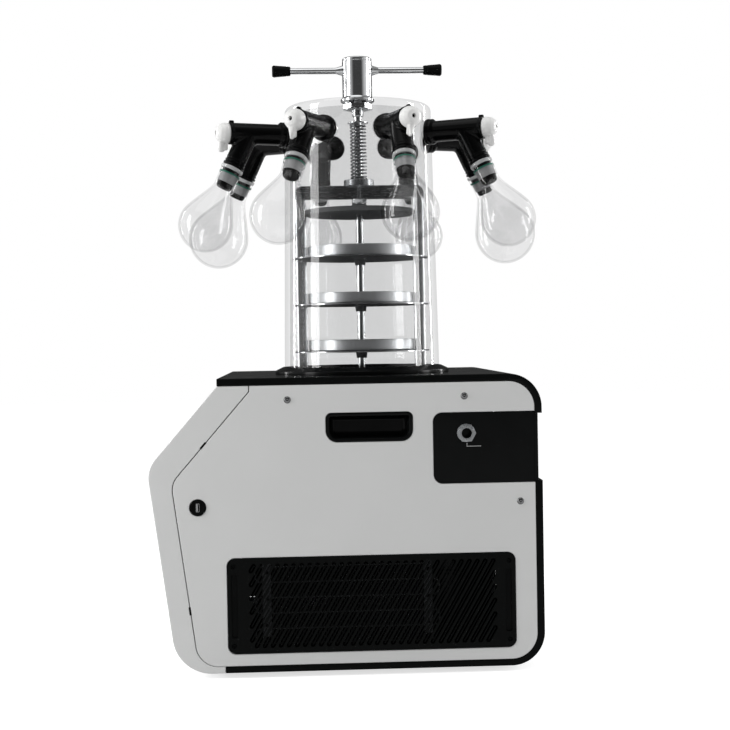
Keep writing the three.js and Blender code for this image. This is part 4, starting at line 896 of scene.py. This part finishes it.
FAN_Z = (COND_FOOT + COND_TOP) / 2
SHROUD = COND_LEFT - FIT
MOTOR_FACE = SHROUD - 30
DUCT = 68
sheet = rectangle(COND_FRONT, COND_REAR, FLOOR, PLATE_TOP, 4)
fan_frame = prism(sheet, SHROUD - 3, SHROUD, "x", 0.6, [circle(FAN_Y, FAN_Z, DUCT, 96)])
duct = [
    (DUCT, 0), (DUCT + 3, 0, 0.8), (DUCT + 3, 33.5, 2), (DUCT + 7, 36.5, 0.6), (DUCT + 4, 38, 2),
    (DUCT, 34, 2)
]
fan_frame.add(lathe(duct, 96, along_x(FAN_Y, FAN_Z, MOTOR_FACE - 8)))
for k in range(4):
    spoke = (polar(r, math.pi / 2 * k) for r in (20, 35, 50, DUCT + 1.5))
    fan_frame.add(tube([(MOTOR_FACE - 5.5, FAN_Y + u, FAN_Z + v) for u, v in spoke], 2.4, 12))
motor = [
    (0, 0), (21, 0, 3), (24, 6, 1.5), (24, 12, 0.5), (26, 13, 0.5), (26, 30, 1), (24, 32, 1), (24, 36, 2),
    (16, 38, 1), (0, 38)
]
fan_frame.add(lathe(motor, 64, along_x(FAN_Y, FAN_Z, MOTOR_FACE - 38)))
instead("fan_frame", "moulded", fan_frame, "black_plastic")

ROTOR_START = MOTOR_FACE + 4
BLADES, BLADE_STATIONS, BLADE_SIDES = 5, 10, 16
BLADE_ROOT, BLADE_TIP, BLADE_LIMIT = 18.5, 61.5, 8.5
at_rotor = along_x(FAN_Y, FAN_Z, ROTOR_START)
rotor = lathe([(0, 0), (19, 0, 1), (20, 2, 1), (20, 16, 2), (16, 18, 2), (0, 18)], 64, at_rotor)
rotor.add(lathe([(0, -3.6), (4, -3.6, 0.4), (4, 1), (0, 1)], 24, at_rotor))
for k in range(BLADES):
    rings = []
    for out in (j / BLADE_STATIONS for j in range(BLADE_STATIONS + 1)):
        r = BLADE_ROOT + (BLADE_TIP - BLADE_ROOT) * out
        pitch = math.radians(28 + 22 * (1 - out))
        chord = 15 + 15 * math.sin(math.pi * min(1, 0.25 + 0.75 * out)) * 0.6
        lean = math.radians(72 * k + 9 * out**2 * 2)
        ring = []
        for i in range(BLADE_SIDES):
            u, v = polar(1, FULL_TURN * i / BLADE_SIDES)
            c, h = chord / 2 * u, 0.8 * v + 1.4 * (1 - u**2)
            along = c * math.cos(pitch) - h * math.sin(pitch)
            axial = c * math.sin(pitch) + h * math.cos(pitch)
            y, z = polar(r, lean + along / r)
            ring.append((ROTOR_START + 9 + max(-BLADE_LIMIT, min(BLADE_LIMIT, axial)), FAN_Y + y, FAN_Z + z))
        rings.append(ring)
    rotor.add(loft(rings))
instead("fan_rotor", "blades", rotor, "black_plastic", body="fan")

# ------------------------------------------------------------------ chamber
# From here heights are from the deck.

TO_DECK = TO_AXIS @ shift(0, 0, DECK)
DRAFT = math.tan(math.radians(1.02))
BASE_RADIUS = 127.2
WALL = 9
LID, LID_TOP = 12, 433.6
RING_WEB, GASKET = 3, 2.2
RING_SEAT = FIT + RING_WEB + FIT
CHAMBER_FOOT = RING_SEAT + GASKET + FIT


def wall_radius(height):
    return BASE_RADIUS - height * DRAFT


ring = [
    (142.5, 0.3, 0.4), (142.5, 4.9, 1.6), (129.8, 11, 0.8), (128.4, 11, 0.3), (128.4, 3.3), (100, 3.3, 0.4),
    (100, 0.3)
]
instead("base_ring", "turned", lathe(ring, 224), "black_gloss", matrix=TO_DECK)
seal = raised(RING_SEAT, [(128.1, 0), (128.1, GASKET, 0.5), (117.6, GASKET, 0.5), (117.6, 0)])
instead("chamber_gasket", "ring", lathe(seal, 192), "rubber", matrix=TO_DECK)

LID_UNDER = LID_TOP - LID
NUT_RECESS = 3
NUT_SEAT = LID_TOP - NUT_RECESS
bell = [
    (wall_radius(CHAMBER_FOOT), CHAMBER_FOOT, 0.6), (wall_radius(LID_TOP), LID_TOP, 8), (24.1, LID_TOP, 0.4),
    (24.1, NUT_SEAT), (9.6, NUT_SEAT), (9.6, LID_UNDER, 0.4), (wall_radius(LID_UNDER) - WALL, LID_UNDER, 4),
    (wall_radius(CHAMBER_FOOT) - WALL, CHAMBER_FOOT, 0.6)
]
instead("chamber", "bell", lathe(bell, 256), "clear_acrylic", matrix=TO_DECK)

PORT_HEIGHT = 385
PORT_SEAT = wall_radius(PORT_HEIGHT) + 2
PORTS = [18 + 45 * k for k in range(8)]
nipple_foot = [(6, PORT_SEAT - 4), (20, PORT_SEAT - 4), (20, PORT_SEAT, 0.8), (6, PORT_SEAT)]
nipple = raised(PORT_SEAT, [(6, 0.2), (9.8, 0.2), (9.8, 34, 1), (6, 34)])
nipples = Shape()
for angle in PORTS:
    at_port = turned(angle, "Z") @ along_x(0, DECK + PORT_HEIGHT, 0)
    nipples.add(lathe(nipple_foot, 48, at_port)).add(lathe(nipple, 40, at_port))
piece("chamber_nipples", nipples, "clear_acrylic")

# ------------------------------------------------------------------ press and handle

NUT_FOOT = NUT_SEAT + FIT
NUT_HEIGHT, NUT_BORE = 10, 7.3
NUT_TOP = NUT_FOOT + NUT_HEIGHT
COLLAR = NUT_TOP + FIT
COLLAR_HEIGHT, HUB_HEIGHT, BAR_HEIGHT = 9.7, 64, 44
HUB = COLLAR + COLLAR_HEIGHT
HUB_TOP = HUB + HUB_HEIGHT
BAR_Z = HUB + BAR_HEIGHT
CROSS_TOP, CROSS_UNDER = 306.6, 284.6
BUSH_TOP = CROSS_TOP + 9
WASHER_Z = 408


def hexagon(radius, low, high, bevel, turn, hole):
    """A hexagon nut with its corners turned off at both ends."""
    flats = circle(0, 0, radius, 6, turn)
    sides = [(Vector(a), Vector(b)) for a, b in zip(flats, flats[1:] + flats[:1])]
    dense = [tuple(a.lerp(b, k / 8)) for a, b in sides for k in range(8)]
    flat_radius = radius * math.cos(math.pi / 6)
    rings = []
    for z, limit in ((low, flat_radius), (low + bevel, radius), (high - bevel, radius), (high, flat_radius)):
        shares = (min(1, (limit + 0.12) / math.hypot(u, v)) for u, v in dense)
        rings.append([(u * k, v * k, z) for (u, v), k in zip(dense, shares)])
    for z in (high, low):
        rings.append([(hole * u / math.hypot(u, v), hole * v / math.hypot(u, v), z) for u, v in dense])
    return loft(rings, closed=True)


lid_nut = hexagon(23.1, NUT_FOOT, NUT_TOP, 1.4, math.pi / 6, NUT_BORE)
# The collar under the nut is slimmer than the CAD's.
collar = raised(LID_TOP, [(NUT_BORE, -14), (8.6, -14, 0.4), (9.3, -13, 0.3)])
collar += raised(NUT_FOOT, [(9.3, 1), (NUT_BORE, 1)])
instead("lid_nut", "turned", lid_nut.add(lathe(collar, 64)), "polished_steel", matrix=TO_DECK)

hub_foot = [
    (NUT_BORE, 0), (23.6, 0, 0.5), (25.6, 1.4, 1.0), (27.5, 2.6, 1.2), (27.5, 6.4, 1.6), (25.0, 8.4, 1.2),
    (24.2, 9.8, 1.0)
]
hub_top = [
    (24.2, -6.6, 0.4), (23.4, -6.0, 0.2), (23.4, -5.2, 0.2), (24.0, -4.6, 0.4), (24.0, -1.6, 1.2),
    (22.0, 0, 0.8), (19.0, 0, 0.3), (18.4, -0.7, 0.3), (0, -0.7)
]
handle = lathe(
    raised(COLLAR, hub_foot) + raised(HUB_TOP, hub_top) + raised(HUB, [(0, 30), (NUT_BORE, 30)]), 128
)
half_bar = [(0, -135), (5, -135, 0.6), (5, -35, 3), (7.6, -26.5, 3), (9.2, -23.0)]
bar = half_bar + [(r, -h, *corner) for r, h, *corner in half_bar[::-1]]
ALONG_BAR = shift(0, 0, BAR_Z) @ turned(-90, "X")
handle.add(lathe(bar, 48, ALONG_BAR))
instead("handle", "hub_and_bar", handle, "polished_steel", body="handle", matrix=TO_DECK)

grip = [
    (5.3, 109), (6.6, 109, 0.5), (7.5, 110.2, 0.6), (7.9, 114.4, 0.3), (7.6, 115.0, 0.2), (7.7, 115.8, 0.2),
    (8.2, 116.4, 0.3), (9.2, 131.0, 4), (9.8, 136.2, 1.6), (8.2, 139, 1.6), (0, 139), (0, 136), (5.3, 136)
]
for name, degrees in (("front", 180), ("rear", 0)):
    sleeve = lathe(grip, 56, ALONG_BAR @ turned(degrees, "X"))
    instead(f"grip_{name}", "sleeve", sleeve, "black_plastic", body="handle", matrix=TO_DECK)

ROD_FOOT, ROD_TOP = -10, HUB + 28
shaft = lathe([
    (0, ROD_FOOT), (5.2, ROD_FOOT, 0.3), (6.2, ROD_FOOT + 2, 0.3), (6.2, CROSS_UNDER - 8.5),
    (0, CROSS_UNDER - 8.5)
], 48)
upper_rod = raised(CROSS_UNDER, [(0, -10), (6.5, -10, 0.5)]) + raised(
    ROD_TOP, [(6.5, -1, 0.4), (5.5, 0, 0.3), (0, 0)]
)
shaft.add(lathe(upper_rod, 64))
shaft.add(lathe(raised(WASHER_Z, [(6, 0), (16.5, 0, 0.5), (16.5, 2.4, 0.5), (6, 2.4)]), 64))
shaft.add(hexagon(13.8, CROSS_UNDER - FIT - 7, CROSS_UNDER - FIT, 0.9, 0, 4.8))
instead("press_shaft", "turned", shaft, "polished_steel", body="press", matrix=TO_DECK)

WIRE = 1.3
SPRING_RADIUS = 12.2
SPRING_FOOT, SPRING_TOP = BUSH_TOP + FIT + WIRE, WASHER_Z - FIT - WIRE
SPRING_TURNS, SPRING_STEPS = 17, 40
END_TURNS, END_PITCH = 1.0, 2.9


def spring_height(turn):
    """Closed ends: the first and last coil lie almost flat."""
    inner = (SPRING_TOP - SPRING_FOOT - 2 * END_TURNS * END_PITCH) / (SPRING_TURNS - 2 * END_TURNS)
    if turn < END_TURNS:
        return SPRING_FOOT + END_PITCH * turn
    if turn > SPRING_TURNS - END_TURNS:
        return SPRING_TOP - END_PITCH * (SPRING_TURNS - turn)
    return SPRING_FOOT + END_PITCH * END_TURNS + inner * (turn - END_TURNS)


spring_path = [
    (*polar(SPRING_RADIUS, FULL_TURN * i / SPRING_STEPS), spring_height(i / SPRING_STEPS))
    for i in range(SPRING_TURNS * SPRING_STEPS + 1)
]
spring = instead(
    "press_spring", "coil", tube(spring_path, WIRE, 12), "spring_steel", slot="polished_steel", matrix=TO_DECK
)
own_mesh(spring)

LEG_IN, LEG_OUT = 88, 106
ROD_HOLE = 6.6
PLATE_TOP_Z = CROSS_UNDER - 18.4


def notched_disc(radius):
    """A disc's outline with a notch round each leg of the rack."""
    half, floor_y, count = 6.8, LEG_IN - 0.8, 88
    reach = math.acos(half / radius)
    right_side = [
        polar(radius, reach * (2 * k / count - 1)) for k in range(count + 1)
    ] + [(half, floor_y), (-half, floor_y)]
    return right_side + [(-u, -v) for u, v in right_side]


press_plate = prism(notched_disc(90), PLATE_TOP_Z - 8, PLATE_TOP_Z, "z", 0.8, [circle(0, 0, ROD_HOLE, 48)])
plate_hub = raised(PLATE_TOP_Z, [(ROD_HOLE, -2), (12.2, -2), (12.2, 10.1, 1), (ROD_HOLE, 10.1, 0.4)])
press_plate.add(lathe(plate_hub, 64))
instead(
    "press_plate", "turned", press_plate, "dark_steel", body="press", slot="brushed_steel", matrix=TO_DECK
)

# ------------------------------------------------------------------ rack, shelves and trays

SHELVES = [34, 110.15, 186.3]
SHELF_RADIUS, SHELF_GAUGE = 111, 2
crossbar = arc_points([
    (-LEG_OUT, CROSS_UNDER, 1), (LEG_OUT, CROSS_UNDER, 1), (LEG_OUT, CROSS_TOP, 13), (-LEG_OUT, CROSS_TOP, 13)
])
piece("rack_frame_bar", prism(crossbar, -6, 6, "x", 0.9), "bar_steel", slot="brushed_steel", matrix=TO_DECK)


def leg_outline(side):
    """A leg's section in X and Y, its outer face crowned from edge to edge."""
    middle, half = (LEG_IN + LEG_OUT) / 2, (LEG_OUT - LEG_IN) / 2
    turns = (polar(1, math.pi * k / 20) for k in range(21))
    return [(-6, side * LEG_IN)] + [
        (0.8 + 5.2 * s, side * (middle - half * c)) for c, s in turns
    ] + [(-6, side * LEG_OUT)]


legs = prism(leg_outline(-1), RING_SEAT, CROSS_UNDER + 5, "z", 0)
legs.add(prism(leg_outline(1), RING_SEAT, CROSS_UNDER + 5, "z", 0))
piece("rack_frame_legs", legs, "polished_steel", slot="brushed_steel", matrix=TO_DECK)
rack = lathe([(6.9, CROSS_TOP - 1), (24.5, CROSS_TOP - 1), (24.5, BUSH_TOP, 1.2), (6.9, BUSH_TOP, 0.5)], 96)
shelf_pin = lathe([(0, -13), (2, -13, 0.5), (2, 13, 0.5), (0, 13)], 24)
foot_screw = lathe([(0, 0), (3.4, 0), (3.4, 1.8, 1.2), (1.6, 2.0), (1.5, 1.0), (0, 1.0)], 28)
for side in (-1, 1):
    rack_foot = rectangle(-15, 15, *sorted((side * LEG_IN, side * (LEG_IN + 26))), 3)
    rack.add(prism(rack_foot, RING_SEAT, RING_SEAT + 3, "z", 0.6))
    for z in SHELVES:
        rack.add(shelf_pin, along_x(side * (LEG_IN + 9), z - FIT - 2, 0))
    for x in (-10.5, 10.5):
        rack.add(foot_screw, shift(x, side * (LEG_IN + 15), RING_SEAT + 3))
instead("rack_frame", "bush_and_feet", rack, "brushed_steel", matrix=TO_DECK)

pan = [
    (86.3, 0, 2.0), (86.3, 16.4, 0.4), (86.5, 16.9, 0.4), (86.5, 17.8, 0.4), (86.0, 18, 0.2), (85.2, 18, 0.2),
    (85.2, 1.2, 1.4), (8.5, 1.2, 1.0), (8.5, 18, 0.4), (7.3, 18, 0.4), (7.3, 0, 0.6)
]
shelf_holes = [
    rectangle(-6.4, 6.4, low - 0.4, high + 0.4, 0.5) for low, high in ((LEG_IN, LEG_OUT), (-LEG_OUT, -LEG_IN))
]
shelf_holes.append(circle(0, 0, ROD_HOLE, 32))
for number, z in enumerate(SHELVES, 1):
    shelf = prism(circle(0, 0, SHELF_RADIUS, 176), z, z + SHELF_GAUGE, "z", 0.5, shelf_holes)
    shelf.add(lathe(raised(z, [(ROD_HOLE, -10), (8.4, -10, 0.5), (9.6, 0.2), (ROD_HOLE, 0.2)]), 48))
    rim = lathe(raised(z, [(110.7, 0.3), (111.08, 0.3, 0.1), (111.08, 1.7, 0.1), (110.7, 1.7)]), 176)
    tray = lathe(raised(z + SHELF_GAUGE + FIT, pan), 176)
    instead(f"shelf_{number}", "disc", shelf, "dark_steel", slot="brushed_steel", matrix=TO_DECK)
    piece(f"shelf_{number}_rim", rim, "polished_steel", slot="brushed_steel", matrix=TO_DECK)
    instead(f"tray_{number}", "pan", tray, "spun_steel", slot="polished_steel", matrix=TO_DECK)

# ------------------------------------------------------------------ flask valves

VALVE_FOOT = PORT_SEAT + FIT
VALVE_LENGTH, BRANCH_SETBACK = 96, 33
VALVE_END = VALVE_FOOT + VALVE_LENGTH
BRANCH_X = VALVE_END - BRANCH_SETBACK
LEAN = math.radians(26)
VALVE_R, BRANCH_R = 16.8, 16.4
TO_VALVE = TO_AXIS @ shift(0, 0, DECK + PORT_HEIGHT)
ON_BRANCH = shift(BRANCH_X, 0, 0) @ Matrix.Rotation(math.pi - LEAN, 4, "Y")

valve_profile = [
    (10.3, 0), (18.8, 0, 0.8), (20.7, 1.6, 1.4), (20.7, 4.6, 1.2), (19.3, 5.6, 0.4), (19.3, 6.4, 0.4),
    (20.3, 7.4, 1.0), (20.3, 10.6, 1.6), (16.8, 14.6, 2.5), (16.8, 90.6, 1.6), (17.6, 92.6, 0.9),
    (17.6, 96, 1.2), (15.4, 96, 0.5), (14.9, 95.2, 0.3), (10.3, 95.2)
]
valve = lathe(valve_profile, 72, along_x(0, 0, VALVE_FOOT))
# A moulding tab on the lip, above the knob.
valve.add(prism(rectangle(-3, 3, 15.5, 20.6, 2.4), VALVE_END - 8.2, VALVE_END - 0.4, "x", 1.6))


def branch_rings():
    """The branch, with a fillet where it leaves the tube, down to where its turned part starts."""
    down = Vector((math.sin(LEAN), 0, -math.cos(LEAN)))
    across = Vector((math.cos(LEAN), 0, math.sin(LEAN)))
    foot = Vector((BRANCH_X, 0, 0))
    fillet, straight, skin, count = 5.5, 43.5, VALVE_R - 0.05, 72
    columns = []
    for i in range(count):
        c, s = polar(1, FULL_TURN * i / count)
        side = across * c + Vector((0, 1, 0)) * s
        y = BRANCH_R * s
        start = (math.sqrt(VALVE_R**2 - y**2) + BRANCH_R * c * math.sin(LEAN)) / math.cos(LEAN)
        corner = foot + down * start + side * BRANCH_R
        around = math.asin(max(-1, min(1, y / VALVE_R))) + fillet / VALVE_R * s
        edge = Vector((corner.x + fillet * c, skin * math.sin(around), -skin * math.cos(around)))
        end = corner + down * fillet
        column = [
            tuple(edge * (1 - t) ** 2 + corner * (2 * t * (1 - t)) + end * t * t)
            for t in (k / 7 for k in range(8))
        ]
        last = start + fillet
        column += [
            tuple(foot + down * (last + (straight - last) * k / 4) + side * BRANCH_R) for k in range(1, 5)
        ]
        columns.append(column)
    return list(zip(*columns))


valve.add(loft(branch_rings(), close_ends=False))
branch_end = [
    (0, 20), (15.8, 20, 0), (15.8, 43.2, 0), (16.4, 43.5, 0.1), (16.4, 47.6, 0.8), (15.6, 48.4, 0.3),
    (15.6, 49.6, 0.3), (17.0, 50.6, 0.7), (17.0, 52.4, 0.7), (15.4, 53.2, 0.3), (15.4, 54.2, 0.3),
    (17.6, 55.4, 0.8), (17.6, 58.0, 1.0), (14.1, 59.2, 0.6), (14.1, 60, 0), (12.7, 93, 0), (11.2, 97, 1.2),
    (6, 97, 0.6), (6, 70), (0, 70)
]
valve_mesh = valve.add(lathe(branch_end, 72, ON_BRANCH)).mesh("valve_rubber", TO_VALVE)
# How far each valve hangs out of plumb, in degrees.
TURNS = [-6, 0, -3, 0, -6, 4, -4, -5.5]
NUMBERS = range(1, 9)


def at_port_of(mesh, number):
    """A copy of a valve's mesh, turned to the port of this number."""
    pivot = shift(0, AXIS_Y * MM, (DECK + PORT_HEIGHT) * MM)
    copy = mesh.copy()
    copy.transform(pivot @ turned(PORTS[number - 1], "Z") @ turned(TURNS[number - 1], "X") @ pivot.inverted())
    return copy


for number in NUMBERS:
    instead(f"valve_body_{number}", "rubber", at_port_of(valve_mesh, number), "rubber", sharp=45)

KNOB_FACE = VALVE_END + 0.4
dome_profile = [
    (0, -1), (13.6, -1), (15.6, 0.0, 0.6), (16.3, 2.6, 1.6), (16.2, 8.6, 3), (14.2, 15.0, 6), (9.6, 19.8, 4),
    (5.0, 21.0, 1.2), (0, 21.0)
]
knob = lathe(dome_profile, 64, along_x(0, 0, KNOB_FACE))
pointer = arc_points(
    [(-10.5, 3, 4), (-6.6, -11, 8), (-1.6, -30, 1.5), (1.6, -30, 1.5), (6.6, -11, 8), (10.5, 3, 4)]
)
knob.add(prism(pointer, KNOB_FACE + 6.4, KNOB_FACE + 17.2, "x", 4.2, steps=5))
lug = rectangle(-3.2, 3.2, -27, -8, 2.6)
knob.add(prism(lug, KNOB_FACE + 1.5, KNOB_FACE + 10, "x", 2.0, steps=4))
knob_slot = prism(stadium((0, -3.4), (0, 3.4), 2.9), KNOB_FACE + 12.5, KNOB_FACE + 25, "x", 0)


def soft_union(name, whole, voxel, rounds, hole):
    """Solids grown into one moulded skin: remeshed, smoothed, then cut."""
    made = add_object(name, whole.mesh(name, TO_VALVE))
    skin = made.modifiers.new("skin", "REMESH")
    skin.mode = "VOXEL"
    skin.voxel_size = voxel * MM
    smooth = made.modifiers.new("smooth", "SMOOTH")
    smooth.factor = 0.5
    smooth.iterations = rounds
    return less(made, hole, TO_VALVE)


knob_mesh = soft_union("valve_knob", knob, 0.75, 3, knob_slot)
# A dark key deep in each knob's slot: painted shade, so the slot shows black.
key = prism(stadium((0, -3.6), (0, 3.6), 3.2), KNOB_FACE + 11.5, KNOB_FACE + 15.5, "x", 0)
slot_shade_mesh = key.mesh("valve_key", TO_VALVE)
plug = lathe(
    [(0, 0), (8.8, 0, 0.3), (9.8, 1.2, 0.3), (9.8, 61, 0), (0, 61)], 40, along_x(0, 0, PORT_SEAT + 35.5)
)
plug_mesh = plug.mesh("valve_plug", TO_VALVE)
for number in NUMBERS:
    body = f"knob_{number}"
    instead(f"valve_knob_{number}", "moulded", at_port_of(knob_mesh, number), "white_plastic", body=body)
    piece(f"valve_plug_{number}", at_port_of(plug_mesh, number), "white_plastic", body)
    piece(f"valve_key_{number}", at_port_of(slot_shade_mesh, number), "rubber", body)

# ------------------------------------------------------------------ flasks
# A flask's profile runs from its mouth, on the branch, down to the bottom of the bulb.

MOUTH = 60
NECK_LENGTH = 33
NECK_FOOT = MOUTH + NECK_LENGTH
NECK_R, NECK_TOP_R, NECK_TOP, NECK_TAPER = 16.2, 17.3, 6.2, 26.8
GLASS = 2.2


def bulb_profile(radius, drop, shrink):
    """Neck foot to the bottom: a slightly hollow shoulder, then the round bulb."""
    touch = math.atan2(NECK_R, drop) + math.acos(radius / math.hypot(NECK_R, drop))
    centre = NECK_FOOT + drop
    radius -= shrink
    t = (radius * math.sin(touch), centre - radius * math.cos(touch))
    neck_r = NECK_R - shrink * 1.15
    before = (t[0] - math.cos(touch) * 26, t[1] - math.sin(touch) * 26)
    shoulder = bezier((neck_r, NECK_FOOT, 0), (neck_r, NECK_FOOT + 9, 0), (*before, 0), (*t, 0), 16)
    turns = (polar(radius, touch + (math.pi - touch) * k / 28) for k in range(1, 28))
    return [p[:2] for p in shoulder] + [(s, centre - c) for c, s in turns] + [(0, centre + radius)]


mouth = raised(
    MOUTH, [(14.4, 0, 0), (17.9, 0, 1.2), (18.7, 1.5, 0.9), (18.5, 4.4, 1.2), (NECK_TOP_R, NECK_TOP, 1)]
)
neck_outside = arc_points(mouth + [(NECK_R, NECK_FOOT, 0)], bevel_steps=5)[:-1]


def flask_mesh(name, radius, drop):
    outside, inside = bulb_profile(radius, drop, 0), bulb_profile(radius, drop, GLASS)
    profile = outside[::-1] + neck_outside[::-1] + [(13.0, NECK_FOOT)] + inside[1:]
    return lathe(profile, 112, ON_BRANCH).mesh(name, TO_VALVE)


small_flask = flask_mesh("flask_small", 43, 69)
large_flask = flask_mesh("flask_large", 50.5, 79.5)
LARGE = (3, 6)


def neck_layer(name, low, high, depth):
    """A thin sleeve this far inside the neck's outer face, between two distances from its mouth."""
    slope, thickness = NECK_R - NECK_TOP_R, 0.1
    r0, r1 = (NECK_TOP_R + slope * (s - NECK_TOP) / NECK_TAPER - depth for s in (low, high))
    profile = raised(MOUTH, [(r0, low), (r0 + thickness, low), (r1 + thickness, high), (r1, high)])
    return lathe(profile, 72, ON_BRANCH).mesh(name, TO_VALVE)


lip = raised(MOUTH, [(14.6, 0.4), (17.2, 0.4, 1), (18.2, 1.6, 0.8), (18.0, 4.2, 1), (16.9, 5.8), (14.6, 5.8)])
NECK_PARTS = (
    ("joint", neck_layer("ground_joint", 11.5, 28.0, 1.9), "ground_glass"),
    ("band", neck_layer("neck_band", 11.2, 13.8, -0.03), "green_band"),
    ("lip", lathe(lip, 72, ON_BRANCH).mesh("neck_lip", TO_VALVE), "lip_glass")
)
for number in NUMBERS:
    flask = at_port_of(large_flask if number in LARGE else small_flask, number)
    instead(f"flask_{number}", "glass", flask, "clear_glass", sharp=60)
    for part, layer, look in NECK_PARTS:
        piece(f"flask_{number}_{part}", at_port_of(layer, number), look, slot="clear_glass")

# The printed leader line beside the vacuum port, without the words it leads to.
line_y, line_z = PIPE_Y + 1.0, PIPE_Z - 15.2
leader = Shape()
for line in ((-0.3, 0.3, -4.5, 0), (-0.3, 21, -5.1, -4.5)):
    outline = rectangle(line_y + line[0], line_y + line[1], line_z + line[2], line_z + line[3])
    leader.add(prism(outline, OUTER - 0.5, OUTER + 0.04, "x", 0))
piece("port_leader_line", leader, "white_paint")

# ------------------------------------------------------------------ floor, light and background

FLOOR_REACH = 9
FLOOR_COLOR, FLOOR_LIFT, FLOOR_MIRRORED = 0.62, 0.68, 0.4
floor_mesh = bpy.data.meshes.new("floor")
floor_corners = [(x * FLOOR_REACH, y * FLOOR_REACH, 0) for x, y in ((-1, -1), (1, -1), (1, 1), (-1, 1))]
floor_mesh.from_pydata(floor_corners, [], [(0, 1, 2, 3)])
floor = add_object("floor", floor_mesh)
n = new_material("floor")
matt = n.add("ShaderNodeBsdfDiffuse", {"Color": (FLOOR_COLOR, FLOOR_COLOR, FLOOR_COLOR, 1)})
# Mirrors and metal see the white floor too, at less of its strength.
mirrored = n.maths("MULTIPLY", n.ray_share("Is Glossy Ray"), FLOOR_MIRRORED)
seen = n.maths("MAXIMUM", n.ray_share("Is Camera Ray", "Is Transmission Ray"), mirrored)
glow = n.add("ShaderNodeEmission", {"Strength": n.maths("MULTIPLY", seen, FLOOR_LIFT)})
n.surface(n.add("ShaderNodeAddShader", {0: matt.outputs[0], 1: glow.outputs[0]}))
floor_mesh.materials.append(MATERIALS["floor"])

# What lights the object from all round, and the darkest and palest parts of the room in mirrors.
DOME = 0.585
ROOM, CARD, CEILING = 0.06, 0.95, 0.35
world = bpy.data.worlds.new("studio")
bpy.context.scene.world = world
n = Nodes(world, "ShaderNodeOutputWorld")
direction = n.add("ShaderNodeSeparateXYZ", {"Vector": n.add("ShaderNodeTexCoord").outputs["Generated"]})
# Mirrors see a grey room that brightens towards the front and the rear, and its pale ceiling.
cards = n.spread(n.maths("ABSOLUTE", direction.outputs["Y"]), ROOM, CARD, 0.54, 0.96)
ceiling = n.spread(direction.outputs["Z"], 0, CEILING, 0.35, 0.75)
room = {0: n.ray_share("Is Glossy Ray"), 2: DOME, 3: n.maths("MAXIMUM", cards, ceiling)}
lit = n.add("ShaderNodeMix", room, data_type="FLOAT").outputs[0]
backdrop = {0: n.ray_share("Is Camera Ray", "Is Transmission Ray"), 2: lit, 3: 1.0}
strength = n.add("ShaderNodeMix", backdrop, data_type="FLOAT").outputs[0]
n.surface(n.add("ShaderNodeBackground", {"Color": WHITE, "Strength": strength}))

LAMP_SPREAD = 170


def panel_light(name, place, target, size, power):
    data = bpy.data.lights.new(name, "AREA")
    data.shape = "RECTANGLE"
    data.size, data.size_y = size
    data.energy = power
    data.spread = math.radians(LAMP_SPREAD)
    lamp = add_object(name, data)
    direction = Vector(target) - Vector(place)
    lamp.matrix_world = shift(*place) @ direction.to_track_quat("-Z", "Y").to_matrix().to_4x4()


# Tall strips give the clear walls and the steel their upright streaks from every side. Each has its
# azimuth (0 is the right side, 90 the rear), width and power.
STRIPS = ((-72, 0.5, 17), (88, 0.4, 15), (123, 0.14, 8), (-118.5, 0.14, 8))
STRIP_DISTANCE, STRIP_HEIGHT = 1.9, 0.95
for k, (azimuth, width, power) in enumerate(STRIPS, 1):
    place = (*polar(STRIP_DISTANCE, math.radians(azimuth)), STRIP_HEIGHT)
    panel_light(f"strip_{k}", place, (0, 0, 0.68), (width, 1.5), power)
panel_light("overhead", (0.5, -0.3, 2.6), (0, 0, 0.3), (1.8, 1.8), 10)

scene = bpy.context.scene
scene.view_settings.view_transform = "Standard"
scene.cycles.transparent_max_bounces = 64
